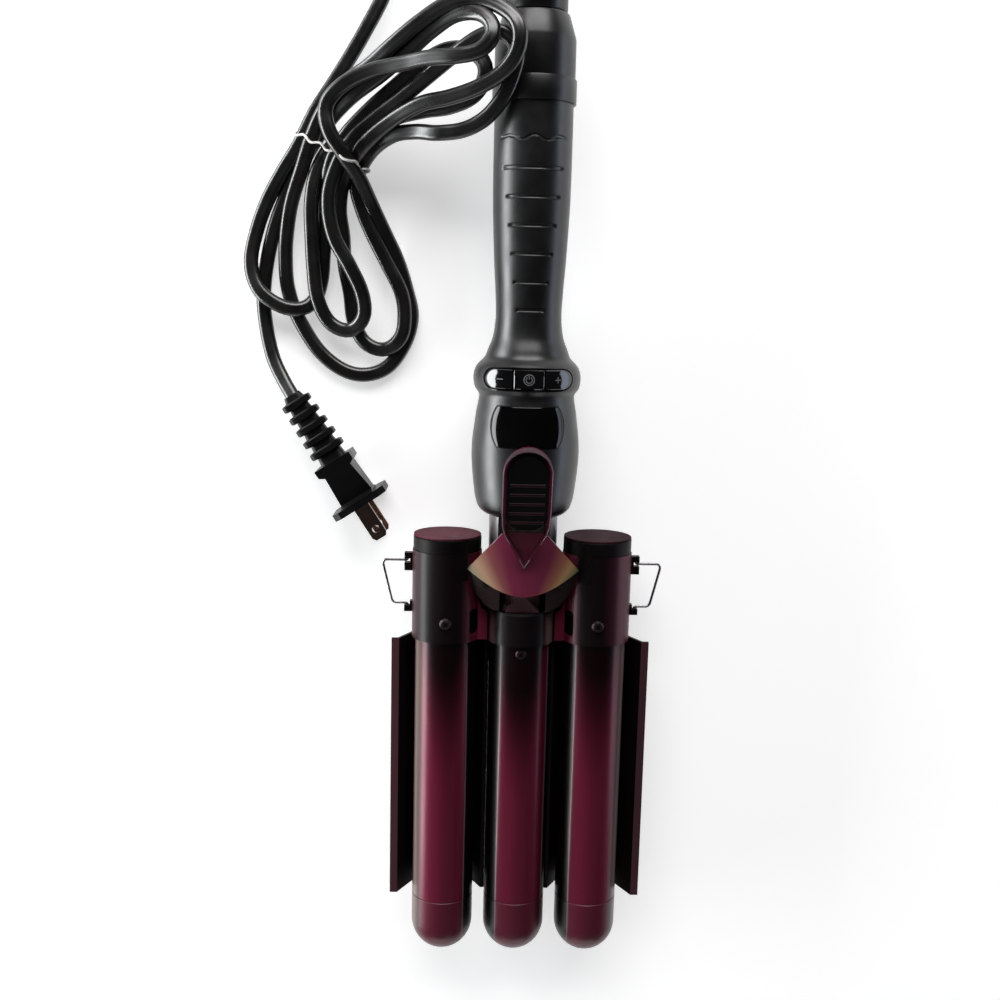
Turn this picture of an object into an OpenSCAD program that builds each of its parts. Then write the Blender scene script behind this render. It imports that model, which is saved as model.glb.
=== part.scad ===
// Hair waver with three barrels, lying on its back with its mains lead tied in a bundle beside it.
// +Y runs from the jaw pivot up the handle, +X to the right, +Z out of the front.
// Z = 0 is the flat back of the rear cover. The jaw's pivot pin crosses at Y = 0.

/* [Barrels] */
// Outside diameter of each barrel
barrel_d = 25; // [22:0.5:26]
// Wall of a barrel's tube
barrel_wall = 1.2; // [0.8:0.1:2]
// Distance between neighbouring barrel axes
barrel_pitch = 29.8; // [29.6:0.1:32]
// From the pivot down to the seam of the tip caps
barrel_reach = 136.4; // [110:0.4:170]
// Straight part of a tip cap below its seam
tip_straight = 12; // [8:0.5:18]
// Length of a tip cap's spigot inside its barrel
tip_spigot = 8; // [5:0.5:12]
// From a tip cap's spigot up to the end of its heater bar
heater_margin = 6.4; // [4:0.2:40]

/* [Outer housings] */
// From the pivot up to the flat top of an outer housing
housing_top = 15; // [13:0.5:17]
// Height of the bare plastic band at that top
housing_band = 6; // [4:0.5:8]
// From the pivot down to the lower edge of the sleeves
sleeve_reach = 26.6; // [24:0.2:30]
// Wall of the stamped half sleeves
sleeve_wall = 1.2; // [0.8:0.1:1.5]
// Diameter of a housing screw's head
screw_head_d = 5; // [4:0.5:6]

/* [Saddle and pivot] */
// Diameter of the pivot pin
pin_d = 4; // [3:0.5:5]
// Height of the saddle's crown over the pivot
saddle_crown = 17.5; // [17.3:0.1:19]
// Radius of the saddle's arch across the barrels
saddle_radius = 41; // [38:1:50]
// Thickness of the saddle's sheet
saddle_wall = 1.6; // [1.2:0.1:2]
// Height of the saddle along the barrels, from its lower edge to its upper edge
saddle_length = 24.6; // [22:0.2:25]

/* [Thumb lever] */
// Greatest width of the lever
lever_width = 18.5; // [14:0.5:22]
// From the pivot to the lever's upper end, along the handle
lever_end = 54.7; // [50:0.5:58]
// Height of the lever's upper end over the pivot
lever_rise = 38.5; // [37:0.5:44]
// Thickness of the lever
lever_wall = 2.6; // [2:0.1:3]
// Distance between the ribs of the thumb pad
rib_pitch = 3.7; // [3:0.1:5]

/* [Head and grip] */
// Diameter of the neck tube between head and jaw
neck_d = 27; // [25.6:0.2:27.4]
// Diameter of the head at its belly
belly_d = 42; // [40:0.5:46]
// Diameter of the collar that carries the keys
collar_d = 41.6; // [39:0.2:44]
// Diameter of the waist above the collar
waist_d = 25.4; // [24:0.2:30]
// Diameter of the grip near its upper end
grip_d = 29.6; // [27:0.2:30]
// Diameter of the tail that the band slides over
tail_d = 30.2; // [30.2:0.2:34]
// From the pivot to the lower end of the head
head_start = 23.8; // [23.4:0.2:25]
// From the pivot to the tail band
band_start = 178.7; // [170:0.5:200]
// Width of the tail band
band_width = 8.7; // [5:0.1:12]
// Wall of the tail band
band_wall = 0.6; // [0.4:0.1:1.2]
// Wall of the grip shells
shell_wall = 2.2; // [1.8:0.1:2.6]
// Depth of the grip grooves
groove_depth = 0.6; // [0.3:0.1:1]
// Distance between the grip grooves
groove_pitch = 10.35; // [8:0.05:10.6]

/* [Keys and display] */
// Width of the oval strip of keys
strip_width = 32.8; // [28:0.2:34]
// Height of the oval strip of keys
strip_height = 7.4; // [6:0.2:7.6]
// Width of the middle key
power_width = 11.8; // [9:0.2:13]
// How far a key travels
key_travel = 0.6; // [0.3:0.1:0.9]
// Width of the display window
display_width = 27.5; // [24:0.5:29]
// Height of the display window
display_height = 15.3; // [14:0.1:16]

/* [Wave plates] */
// Gap between a barrel and its trough
trough_gap = 1.5; // [1.2:0.1:2]
// Thickness of the plate
plate_wall = 1; // [0.8:0.1:1.4]
// From the seam of the tip caps up to the lower end of the plates
plate_gap = 0.6; // [0.6:0.2:20]
// Slope of the plate's side walls from the flat
plate_slope = 60.7; // [55:0.1:68]
// Width of the flat lip at a plate's outer edge
lip_width = 3; // [1:0.5:5]

/* [Tail, cord and plug] */
// Diameter of the swivel cap
swivel_d = 23.3; // [20:0.1:24]
// Length of the swivel cap
swivel_length = 18; // [12:1:24]
// Length of the strain relief
relief_length = 40; // [24:1:50]
// Width of the flat twin lead
cord_width = 5.6; // [5:0.1:6.4]
// Thickness of the flat twin lead
cord_thickness = 3.4; // [3:0.1:4]
// Length of the plug's blades
blade_length = 15; // [14:0.5:18]

/* [Wire stands] */
// Diameter of the stand wire
wire_d = 1.1; // [0.8:0.1:1.4]
// How far a wire stand reaches out from its pivot
stand_reach = 9.9; // [7:0.1:12]

/* [Hidden] */
$fn = 64;

fit = 0.05;         // radial play of a seated or turning piece
play = 0.3;         // gap round a moving piece and its frame
eps = 0.5;          // how far a cutter runs past a face
left = -1;
right = 1;

// heights and radii that the pieces share
axis_z = belly_d / 2 + 0.2;
barrel_r = barrel_d / 2;
bore_r = barrel_r - barrel_wall;
sleeve_in = barrel_r + fit;
sleeve_r = sleeve_in + sleeve_wall;
rear_sleeve_r = sleeve_in + 1;
cap_r = sleeve_r - 0.3;
neck_r = neck_d / 2;
neck_wall = 1.5;
neck_start = 3.5;
yoke_r = neck_r - 0.1;
pin_r = pin_d / 2;
trough_r = barrel_r + trough_gap;
plate_top = -sleeve_reach - 0.4;
plate_end = -barrel_reach + plate_gap;
ear_wall = 1.4;
ear_in = neck_r + 0.7;
ear_out = ear_in + ear_wall;

// the outer profile of head, collar and grip as [distance from the pivot, radius]
head_length = 46.4;                       // from the lower end of the head to the crease under the collar
belly_at = head_start + 25.2;
crease_at = head_start + head_length;
collar_at = crease_at + 7.4;
waist_at = collar_at + 22;
grip_stations = [
    [head_start, belly_d * 0.35],
    [head_start + 1.2, belly_d * 0.395],
    [head_start + 3.2, belly_d * 0.435],
    [head_start + 9, belly_d * 0.469],
    [belly_at, belly_d / 2],
    [belly_at + 14, belly_d / 2 - 1.4],
    [crease_at - 0.6, collar_d / 2 - 2.3],
    [crease_at + 1, collar_d / 2 - 2.1],
    [collar_at - 4.2, collar_d / 2 - 0.6],
    [collar_at, collar_d / 2],
    [collar_at + 3.2, collar_d / 2 - 0.7],
    [collar_at + 5, collar_d / 2 - 1.9],
    [collar_at + 7.4, collar_d / 2 - 4.2],
    [collar_at + 10.6, waist_d / 2 + 2.6],
    [collar_at + 15.2, waist_d / 2 + 0.9],
    [waist_at, waist_d / 2],
    [waist_at + 8, waist_d / 2 + 0.15],
    [waist_at + 23, grip_d / 2 - 1],
    [waist_at + 46, grip_d / 2 - 0.1],
    [band_start, grip_d / 2]
];
last_station = len(grip_stations) - 1;
tail_r = tail_d / 2;
shoulder_at = band_start + band_width + 14.6;
tail_end = shoulder_at + 8.5;
shoulder_r = swivel_d / 2 + 0.55;
mouth_wall = 4.2;
bearing_length = 6.5;
spindle_r = 5;

function slope(i) =
    let (a = grip_stations[max(i - 1, 0)], b = grip_stations[min(i + 1, last_station)])
    (b[1] - a[1]) / (b[0] - a[0]);
function segment(y) = len([for (s = grip_stations) if (s[0] <= y) 1]) - 1;
// radius of the head, collar or grip at a distance y from the pivot
function r_at(y) =
    let (
        i = max(0, min(segment(y), last_station - 1)),
        a = grip_stations[i],
        b = grip_stations[i + 1],
        span = b[0] - a[0],
        t = (y - a[0]) / span
    )
    a[1] * (1 + 2 * t) * pow(1 - t, 2) + slope(i) * span * t * pow(1 - t, 2)
    + b[1] * t * t * (3 - 2 * t) + slope(i + 1) * span * t * t * (t - 1);
profile_ys = [
    for (i = [0:last_station - 1])
        let (span = grip_stations[i + 1][0] - grip_stations[i][0], parts = span < 3 ? 1 : span < 9 ? 2 : 4)
        for (k = [0:parts - 1]) grip_stations[i][0] + span * k / parts
];
function ys_between(y0, y1) = concat([y0], [for (y = profile_ys) if (y > y0 + 0.2 && y < y1 - 0.2) y], [y1]);
function reversed(list) = [for (i = [len(list) - 1:-1:0]) list[i]];

// keys and display
strip_y = collar_at;
bezel_rim = 0.8;
key_proud = 0.4;
key_depth = 2.4;
key_gap = 0.3;
stem_d = 2.4;
side_key_x = 7.8;
display_y = belly_at + 10.6;
board_wall = 1.6;
board_h = 10;
board_width = 22;
board_start = belly_at - 7;
board_end = collar_at + 4.4;
board_screw_y = board_start + 4;
board_screw_x = 8.4;
switch_height = 3.4;
switch_top = board_h + board_wall + switch_height;
display_module_width = 16;
display_module_height = 3;

// jaw and lever
sleeve_top = housing_top - housing_band;
saddle_low = -6.1;
saddle_high = saddle_low + saddle_length;
saddle_reach = barrel_pitch - 8;
saddle_corner = saddle_low + 9.4;
saddle_top_half = 8.5;
wing_tilt = 15;
swing_h = 9;                              // flat of neck and yoke that the saddle dips over
lever_root = 5.4;
lever_root_h = saddle_crown + 1.7;
lever_mid = 30;
lever_mid_h = lever_root_h + (lever_rise - lever_root_h) * 0.6;
lever_screw_y = 12.5;
lever_boss_r = 3.2;
rib_start = 21.5;
rib_count = 6;
rib_r = 0.7;
spring_r = pin_r + 1.3;
spring_wire = 1.1;
spring_turns = 5;
spring_pitch = 1.6;
spring_bay = 5.6;

// middle sleeve, yoke and rear cover
middle_top = -13.9;
middle_wall = 0.8;
spigot_r = bore_r - 0.1;
spigot_end = -36;
cover_low = -40;
cover_step = -8;
cover_high = 20;
cover_half = barrel_pitch + 4.2;
cover_narrow = 13;
cover_chamfer = 3;
cover_screw_ys = [-21, 10];
cover_screw_r = 1.3;
rivet_r = 1.5;
rivet_ys = [plate_top - 3.6, plate_top - 10];
screw_shank_r = 1.4;
head_sink = 0.35;
housing_screw_y = -18.5;
// from the sleeves' lower edge down to the middle barrel's screw
middle_screw_gap = 4;
middle_screw_y = -sleeve_reach - middle_screw_gap;

// shell screws along the back of the grip
shell_screw_ys = [92, 130, 168];
// depth of the cuts that reach from the axis out through the back
cut_reach = 30;
boss_r = 3.1;
shell_screw_r = 1.3;
shell_head_r = 2.4;

// wire stands, measured outwards from an outer barrel's axis
stand_pivot = sleeve_r + 1.8;
stand_high = 4;
stand_low = -13.5;
lug_depth = 3.2;

// centre lines of the lead, as points chosen by hand
lead_exit = tail_end + 0.8 + swivel_length + relief_length;
lead_route = [
    [0, lead_exit, axis_z], [0, lead_exit + 8, axis_z], [-2, lead_exit + 17, 20], [-7, lead_exit + 27, 17],
    [-17, lead_exit + 35, 12], [-30, lead_exit + 37, 8], [-42, lead_exit + 30, 5], [-49, lead_exit + 18, 3],
    [-52, lead_exit + 4, 2.4], [-53, lead_exit - 12, 2.4], [-53, 243, 2.6], [-54, 230, 3.4], [-57, 217, 4.4],
    [-63, 209, 4.4], [-70, 200, 4.2], [-77, 188, 4.2], [-82, 176, 5], [-82, 171, 5]
];
tail_route = [
    [-86, 168, 6], [-94, 158, 4], [-101, 146, 2.2], [-106, 132, 2], [-108.5, 118, 2], [-109, 104, 2],
    [-106, 90, 3], [-99, 77, 6.5], [-92, 66.4, 10.2]
];
tie_at = [-77, 163.5];
plug_at = [-92, 66.4, 10.2];
plug_turn = -56.8;
relief_end = 29;
flange_at = 47.4;
blade_start = 50.2;
hank_height = 11;
hank_tilt = 24;
hank_hinge = -91;

// ---------- shapes that repeat ----------

module on_axis(x = 0, y = 0) {
    translate([x, y, axis_z]) rotate([-90, 0, 0]) children();
}

// round bar along Y
module bar(r, y0, y1, x = 0) {
    on_axis(x, y0) cylinder(r = r, h = y1 - y0);
}

module tube(r_out, r_in, y0, y1, x = 0) {
    difference() {
        bar(r_out, y0, y1, x);
        bar(r_in, y0 - eps, y1 + eps, x);
    }
}

// block between two corners, with heights counted from the barrel axis
module block(x0, x1, y0, y1, h0, h1) {
    translate([x0, y0, axis_z + h0]) cube([x1 - x0, y1 - y0, h1 - h0]);
}

// a prism that stands on the XY plane at a height over the axis
module prism(h0, h1) {
    translate([0, 0, axis_z + h0]) linear_extrude(h1 - h0) children();
}

// a prism along Y whose outline is drawn in X and Z
module extrude_y(y0, y1) {
    translate([0, y1, 0]) rotate([90, 0, 0]) linear_extrude(y1 - y0) children();
}

module front_half(reach = 60) {
    block(-reach, reach, -200, 300, 0, reach);
}

module stadium(width, height) {
    square([width - height, height], center = true);
    for (side = [left, right]) translate([side * (width - height) / 2, 0]) circle(d = height);
}

// a piece of the head's skin between two stations, from below the surface to above it
module skin(y0, y1, below, above) {
    ys = ys_between(y0, y1);
    outer = [for (y = ys) [r_at(y) + above, y]];
    inner = [for (y = reversed(ys)) [r_at(y) - below, y]];
    on_axis() rotate_extrude() polygon(concat(outer, inner));
}

// pan head screw with its shank pointing down local Z
module screw(head_r, head_h, shank_r, shank_h) {
    difference() {
        cylinder(r1 = head_r, r2 = head_r * 0.72, h = head_h);
        for (turn = [45, 135])
            rotate([0, 0, turn]) translate([-head_r * 0.45, -0.4, head_h * 0.5])
                cube([head_r * 0.9, 0.8, head_h]);
    }
    translate([0, 0, -shank_h]) cylinder(r = shank_r, h = shank_h + 0.1);
}

function unit(v) = v / norm(v);
function tangent(path, i) = unit(path[min(i + 1, len(path) - 1)] - path[max(i - 1, 0)]);
function midpoint(path, i) =
    let (n = len(path) - 1, a = path[max(i - 1, 0)], b = path[i], c = path[i + 1], d = path[min(i + 2, n)])
    (9 * (b + c) - a - d) / 16;
function refined(path) = concat(
    [for (i = [0:len(path) - 2]) for (p = [path[i], midpoint(path, i)]) p],
    [path[len(path) - 1]]
);
function ring_points(path, i, half_w, half_h, sides) =
    let (t = tangent(path, i), side = unit(cross(t, [0, 0, 1])), up = cross(side, t))
    [for (k = [0:sides - 1])
        path[i] + side * half_w * cos(360 * k / sides) + up * half_h * sin(360 * k / sides)];

// closed tube of oval section swept along a path
module sweep(path, width, height, sides = 10) {
    rings = len(path);
    points = [for (i = [0:rings - 1]) for (p = ring_points(path, i, width / 2, height / 2, sides)) p];
    walls = [
        for (i = [0:rings - 2]) for (k = [0:sides - 1])
            let (a = i * sides + k, b = i * sides + (k + 1) % sides)
            for (f = [[a, b, b + sides], [a, b + sides, a + sides]]) f
    ];
    start_cap = [[for (k = [sides - 1:-1:0]) k]];
    end_cap = [[for (k = [0:sides - 1]) (rings - 1) * sides + k]];
    faces = [for (f = concat(walls, start_cap, end_cap)) reversed(f)];
    polyhedron(points = points, faces = faces, convexity = 6);
}

// ---------- grip shells ----------

module grip_cavity() {
    start = head_start + mouth_wall;
    ys = ys_between(start, band_start);
    outline = concat(
        [[0, start]],
        [for (y = ys) [r_at(y) - shell_wall, y]],
        [[tail_r - shell_wall, band_start], [tail_r - shell_wall, tail_end - bearing_length]],
        [[0, tail_end - bearing_length]]
    );
    on_axis() rotate_extrude() polygon(outline);
}

module shell_body() {
    ys = ys_between(head_start, band_start);
    outline = concat(
        [[0, head_start]],
        [for (y = ys) [r_at(y), y]],
        [[tail_r, band_start], [tail_r, shoulder_at], [shoulder_r, tail_end], [0, tail_end]]
    );
    neck_grip_at = head_start + 12;
    difference() {
        on_axis() rotate_extrude() polygon(outline);
        difference() {
            grip_cavity();
            tube(r_at(neck_grip_at) - shell_wall / 2, neck_r + fit, neck_grip_at, neck_grip_at + 2.4);
        }
        bar(neck_r + fit, head_start - eps, head_start + mouth_wall + eps);
        bar(spindle_r + fit, tail_end - bearing_length - eps, tail_end + eps);
    }
}

// boss from the split plane out to the shell's wall, towards the front or the back
module screw_boss(y, side) {
    reach = r_at(y) - shell_wall / 2;
    translate([0, y, axis_z + (side > 0 ? 0 : -reach)]) cylinder(r = boss_r, h = reach);
}

module grip_groove(y, width) {
    intersection() {
        on_axis() rotate_extrude() polygon([
            [r_at(y) - groove_depth, y], [r_at(y) + 1, y - 0.9], [r_at(y) + 1, y + 0.9]
        ]);
        block(-width / 2, width / 2, y - 2, y + 2, 0, 30);
    }
}

wavy_width = 25;

// the uppermost groove runs in small waves
module wavy_groove(y, width) {
    steps = 40;
    function wave(t) = 0.9 * sin(360 * 2.5 * t) * (1 - pow(abs(2 * t - 1), 4));
    edge = [for (i = [0:steps]) [width * (i / steps - 0.5), y + wave(i / steps)]];
    intersection() {
        skin(y - 3, y + 3, groove_depth, 1);
        prism(0, 30) polygon(concat(edge, [for (p = reversed(edge)) p + [0, 0.7]]));
    }
}

module grip_shell_front() {
    color([0.13, 0.135, 0.15])
    difference() {
        union() {
            intersection() {
                shell_body();
                front_half();
            }
            for (y = shell_screw_ys) screw_boss(y, 1);
            for (side = [left, right])
                translate([side * board_screw_x, board_screw_y, axis_z + board_h + board_wall])
                    cylinder(r = 2, h = r_at(board_screw_y) - board_h - board_wall - 3.6);
        }
        for (y = shell_screw_ys)
            translate([0, y, axis_z - eps]) cylinder(r = shell_screw_r + fit, h = 7 + eps);
        for (side = [left, right])
            translate([side * board_screw_x, board_screw_y, axis_z + board_h])
                cylinder(r = 1 + fit, h = board_wall + 3.4);
        translate([0, strip_y]) prism(8, 30)
            stadium(strip_width + 2 * (bezel_rim + fit), strip_height + 2 * (bezel_rim + fit));
        translate([0, display_y]) prism(8, 30) display_outline(fit);
        for (i = [0:5])
            grip_groove(waist_at + 3.4 + i * groove_pitch, 11 + i * 2.4);
        wavy_groove(waist_at + 3.4 + 6 * groove_pitch, wavy_width);
    }
}

module grip_shell_rear() {
    color([0.13, 0.135, 0.15])
    difference() {
        union() {
            difference() {
                shell_body();
                front_half();
            }
            for (y = shell_screw_ys) screw_boss(y, -1);
        }
        for (y = shell_screw_ys) {
            translate([0, y, axis_z - cut_reach]) cylinder(r = shell_screw_r + 0.1, h = cut_reach + 1);
            translate([0, y, axis_z - cut_reach])
                cylinder(r = shell_head_r + 0.2, h = cut_reach - r_at(y) + 3.2);
        }
    }
}

module tail_band() {
    color([0.13, 0.135, 0.15])
    tube(tail_r + fit + band_wall, tail_r + fit, band_start, band_start + band_width);
}

module shell_screws() {
    color("silver")
    for (y = shell_screw_ys)
        translate([0, y, axis_z - r_at(y) + 3.2]) rotate([180, 0, 0])
            screw(shell_head_r, 1.6, shell_screw_r, r_at(y) - 3.2 + 5.5);
}

// ---------- electronics and keys ----------

module circuit_board() {
    color("darkgreen")
    difference() {
        block(-board_width / 2, board_width / 2, board_start, board_end, board_h, board_h + board_wall - fit);
        for (side = [left, right])
            translate([side * board_screw_x, board_screw_y, axis_z]) cylinder(r = 1.2, h = 20);
    }
}

module board_screws() {
    color("silver")
    for (side = [left, right])
        translate([side * board_screw_x, board_screw_y, axis_z + board_h - fit]) rotate([180, 0, 0])
            screw(1.9, 1.2, 1, board_wall + 3);
}

module display_outline(grow) {
    intersection() {
        square([display_width + 2 * grow, display_height + 2 * grow], center = true);
        circle(d = display_width + 2 * grow);
    }
}

module display_module() {
    color("lightgray")
    block(
        -display_module_width / 2, display_module_width / 2, display_y - 6.6, display_y + 6.6,
        board_h + board_wall, board_h + board_wall + display_module_height
    );
}

module display_window() {
    color([0.02, 0.02, 0.025])
    intersection() {
        skin(display_y - 9, display_y + 9, 1.8, 0.25);
        translate([0, display_y]) prism(8, 30) display_outline(0);
    }
}

module key_bezel() {
    color([0.02, 0.02, 0.02])
    intersection() {
        skin(strip_y - 6, strip_y + 6, 2, 0.3);
        translate([0, strip_y]) prism(8, 30) difference() {
            stadium(strip_width + 2 * bezel_rim, strip_height + 2 * bezel_rim);
            stadium(strip_width + 2 * play, strip_height + 2 * play);
        }
    }
}

// a key between two sides of the strip, with the stem that presses its switch
module key(x0, x1, stem_x) {
    color([0.03, 0.03, 0.035])
    union() {
        intersection() {
            skin(strip_y - 5, strip_y + 5, key_depth, key_proud);
            translate([0, strip_y]) prism(8, 30) intersection() {
                stadium(strip_width, strip_height);
                translate([x0, -10]) square([x1 - x0, 20]);
            }
        }
        stem_top = sqrt(pow(collar_d / 2 - key_depth / 2, 2) - stem_x * stem_x);
        block(
            stem_x - stem_d / 2, stem_x + stem_d / 2, strip_y - stem_d / 2, strip_y + stem_d / 2,
            switch_top + key_travel + 0.1, stem_top
        );
    }
}

module key_power() {
    key(-power_width / 2 + key_gap / 2, power_width / 2 - key_gap / 2, 0);
}

module key_minus() {
    key(-strip_width, -power_width / 2 - key_gap / 2, -side_key_x);
}

module key_plus() {
    key(power_width / 2 + key_gap / 2, strip_width, side_key_x);
}

module key_switches() {
    color("dimgray")
    for (x = [-side_key_x, 0, side_key_x])
        translate([x, strip_y, axis_z + board_h + board_wall]) {
            translate([-2.4, -2.4, 0]) cube([4.8, 4.8, switch_height - 1]);
            translate([0, 0, switch_height - 1]) cylinder(r = 1.6, h = 1);
        }
}

// ---------- tail: swivel, slip rings and leads ----------

spindle_length = 30;
slip_ys = [tail_end - spindle_length + 3, tail_end - spindle_length + 10];
slip_width = 3;
slip_r = spindle_r + 1.2;

module swivel_cap() {
    color([0.1, 0.1, 0.11])
    difference() {
        union() {
            cap = swivel_d / 2;
            start = tail_end + 0.8;
            bar(spindle_r, tail_end - spindle_length, start + 1);
            bar(spindle_r + 3, tail_end - bearing_length - 2.4, tail_end - bearing_length - 0.4);
            on_axis() rotate_extrude() polygon([
                [0, start], [cap - 0.4, start], [cap, start + 0.6], [cap, start + swivel_length - 3],
                [cap - 1, start + swivel_length - 1], [cap - 3, start + swivel_length],
                [0, start + swivel_length]
            ]);
        }
        bar(cord_width / 2, tail_end - spindle_length - 1, tail_end + 40);
    }
}

module slip_rings() {
    color("goldenrod")
    for (y = slip_ys) tube(slip_r, spindle_r + fit, y, y + slip_width);
}

// sprung carbon brushes that stand between the rings and the shell
module slip_brushes() {
    half = 1.5;
    foot = sqrt(pow(tail_r - shell_wall, 2) - half * half);
    color("peru")
    for (y = slip_ys) block(-half, half, y, y + slip_width, -foot, -slip_r - play);
}

module mains_leads() {
    color("black")
    for (i = [0, 1]) {
        side = i == 0 ? left : right;
        lead_x = 8.2;
        lead_h = 4;
        lead_r = 1;
        far_end = slip_ys[i] + slip_width / 2;
        bar_end = [side * lead_x, board_end - 3, axis_z + lead_h];
        translate(bar_end) rotate([-90, 0, 0]) cylinder(r = lead_r, h = far_end - board_end + 3);
        translate(bar_end) sphere(r = lead_r);
        translate(bar_end) cylinder(r = lead_r, h = board_h - lead_h);
        translate([side * lead_x, far_end, axis_z + lead_h]) sphere(r = lead_r);
        drop = tail_r - shell_wall - 5 + lead_h;
        translate([side * lead_x, far_end, axis_z + lead_h - drop]) cylinder(r = lead_r, h = drop);
        translate([side * lead_x, far_end, axis_z + lead_h - drop]) sphere(r = lead_r);
        translate([side * lead_x, far_end, axis_z + lead_h - drop]) rotate([0, -side * 90, 0])
            cylinder(r = lead_r, h = lead_x - 1.5);
    }
}

// the relief has soft rings that let it bend
module strain_relief() {
    start = tail_end + 0.8 + swivel_length;
    rings = floor(relief_length / 4);
    tip_r = cord_width / 2 + 0.9;
    base_r = tip_r + 2.4;
    color([0.08, 0.08, 0.085])
    difference() {
        union() {
            on_axis(0, start) cylinder(r1 = base_r - 0.8, r2 = tip_r - 0.4, h = relief_length);
            for (i = [0:rings - 1]) {
                share = i / rings;
                on_axis(0, start + i * 4) cylinder(r = base_r + (tip_r - base_r) * share, h = 2.4);
            }
        }
        bar(cord_width / 2, start - eps, start + relief_length + eps);
    }
}

// ---------- neck, yoke and pivot ----------

// everything in front of the flat that the saddle dips over
module swing_cut() {
    block(-neck_d, neck_d, 6, 60, swing_h, 40);
}

// the bay of the return spring, open to the front
module spring_cut(from_h) {
    block(-spring_bay, spring_bay, -5.4, 5.4, from_h, 30);
}

module cover_screw_cut() {
    for (y = cover_screw_ys)
        translate([0, y, -eps]) cylinder(r = cover_screw_r + fit, h = axis_z - 5 + eps);
}

module neck_tube() {
    color([0.3, 0.3, 0.32])
    difference() {
        tube(neck_r, neck_r - neck_wall, neck_start, head_start + 18);
        intersection() {
            swing_cut();
            block(-neck_d, neck_d, 0, head_start, 0, 40);
        }
        spring_cut(0);
        cover_screw_cut();
    }
}

module yoke() {
    plug_r = neck_r - neck_wall - fit;
    color([0.1, 0.1, 0.11])
    difference() {
        union() {
            on_axis() rotate_extrude() polygon([
                [0, spigot_end], [spigot_r, spigot_end], [spigot_r, -13], [yoke_r, -5],
                [yoke_r, neck_start - 0.1],
                [plug_r, neck_start - 0.1], [plug_r, 18], [0, 18]
            ]);
            hull() {
                block(-6.5, 6.5, middle_top + 0.1, middle_top + 0.9, 6, 11.4);
                block(-0.4, 0.4, -6.2, -5.6, 9, 12.9);
            }
        }
        swing_cut();
        spring_cut(-9.6);
        front_screw_cut(0, middle_screw_y, barrel_r);
        translate([-neck_d, 0, axis_z]) rotate([0, 90, 0]) cylinder(r = pin_r + fit, h = 2 * neck_d);
        bar(4, 7, 19);
        cover_screw_cut();
    }
}

module pivot_pin() {
    color("silver")
    translate([-ear_out, 0, axis_z]) rotate([0, 90, 0]) cylinder(r = pin_r, h = 2 * ear_out);
}

module return_spring() {
    steps = 12;
    half = spring_turns * spring_pitch / 2;
    coil = [
        for (i = [0:spring_turns * steps])
            let (a = 360 * i / steps + 90)
            [-half + spring_pitch * i / steps, spring_r * sin(a), axis_z + spring_r * cos(a)]
    ];
    upper_leg = [-half, spring_r, axis_z + saddle_crown - saddle_wall - 1.6];
    lower_leg = [half, spring_r, axis_z - 8.4];
    color("lightsteelblue") helix(concat([upper_leg], coil, [lower_leg]), spring_wire / 2);
}

// wire coiled about the X direction, so each ring is framed by X
module helix(path, r, sides = 8) {
    rings = len(path);
    function ring(i) =
        let (t = tangent(path, i), side = unit(cross(t, [1, 0, 0])), up = cross(side, t))
        [for (k = [0:sides - 1]) path[i] + r * (side * cos(360 * k / sides) + up * sin(360 * k / sides))];
    walls = [
        for (i = [0:rings - 2]) for (k = [0:sides - 1])
            let (a = i * sides + k, b = i * sides + (k + 1) % sides)
            for (f = [[a, b, b + sides], [a, b + sides, a + sides]]) f
    ];
    caps = [[for (k = [sides - 1:-1:0]) k], [for (k = [0:sides - 1]) (rings - 1) * sides + k]];
    polyhedron(
        points = [for (i = [0:rings - 1]) for (p = ring(i)) p],
        faces = [for (f = concat(walls, caps)) reversed(f)],
        convexity = 8
    );
}

// ---------- saddle and thumb lever ----------

module saddle_outline() {
    steps = 16;
    low = [
        for (i = [0:steps])
            let (x = saddle_reach * (2 * i / steps - 1))
            [x, saddle_corner - (saddle_corner - saddle_low) * cos(90 * x / saddle_reach)]
    ];
    polygon(concat(low, [[saddle_top_half, saddle_high], [-saddle_top_half, saddle_high]]));
}

module saddle() {
    color([0.32, 0.2, 0.26])
    difference() {
        union() {
            intersection() {
                translate([0, 0, saddle_crown - saddle_radius])
                    tube(saddle_radius, saddle_radius - saddle_wall, -20, 40);
                prism(5, 40) saddle_outline();
            }
            for (side = [left, right]) {
                saddle_ear(side);
                saddle_wing(side);
            }
        }
        for (side = [left, right])
            bar(sleeve_r + fit, -60, 60, side * barrel_pitch);
        translate([-neck_d, 0, axis_z]) rotate([0, 90, 0]) cylinder(r = pin_r + fit, h = 2 * neck_d);
        translate([0, lever_screw_y, axis_z]) cylinder(r = 1.3, h = 40);
    }
}

// the lower facet of the saddle, beside the yoke
module saddle_wing(side) {
    intersection() {
        translate([0, saddle_corner, axis_z + saddle_crown]) rotate([wing_tilt, 0, 0])
            translate([0, -saddle_corner, -axis_z - saddle_radius])
                tube(saddle_radius, saddle_radius - saddle_wall, -30, 20);
        prism(0, 40) polygon([
            for (p = [
                [9, -13], [12, -12.6], [15, -10.8], [18, -7], [saddle_reach - 0.4, saddle_corner - 4.6],
                [saddle_reach - 0.6, saddle_corner - 0.6], [9, saddle_low + 3.4]
            ]) [side * p[0], p[1]]
        ]);
    }
}

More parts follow.
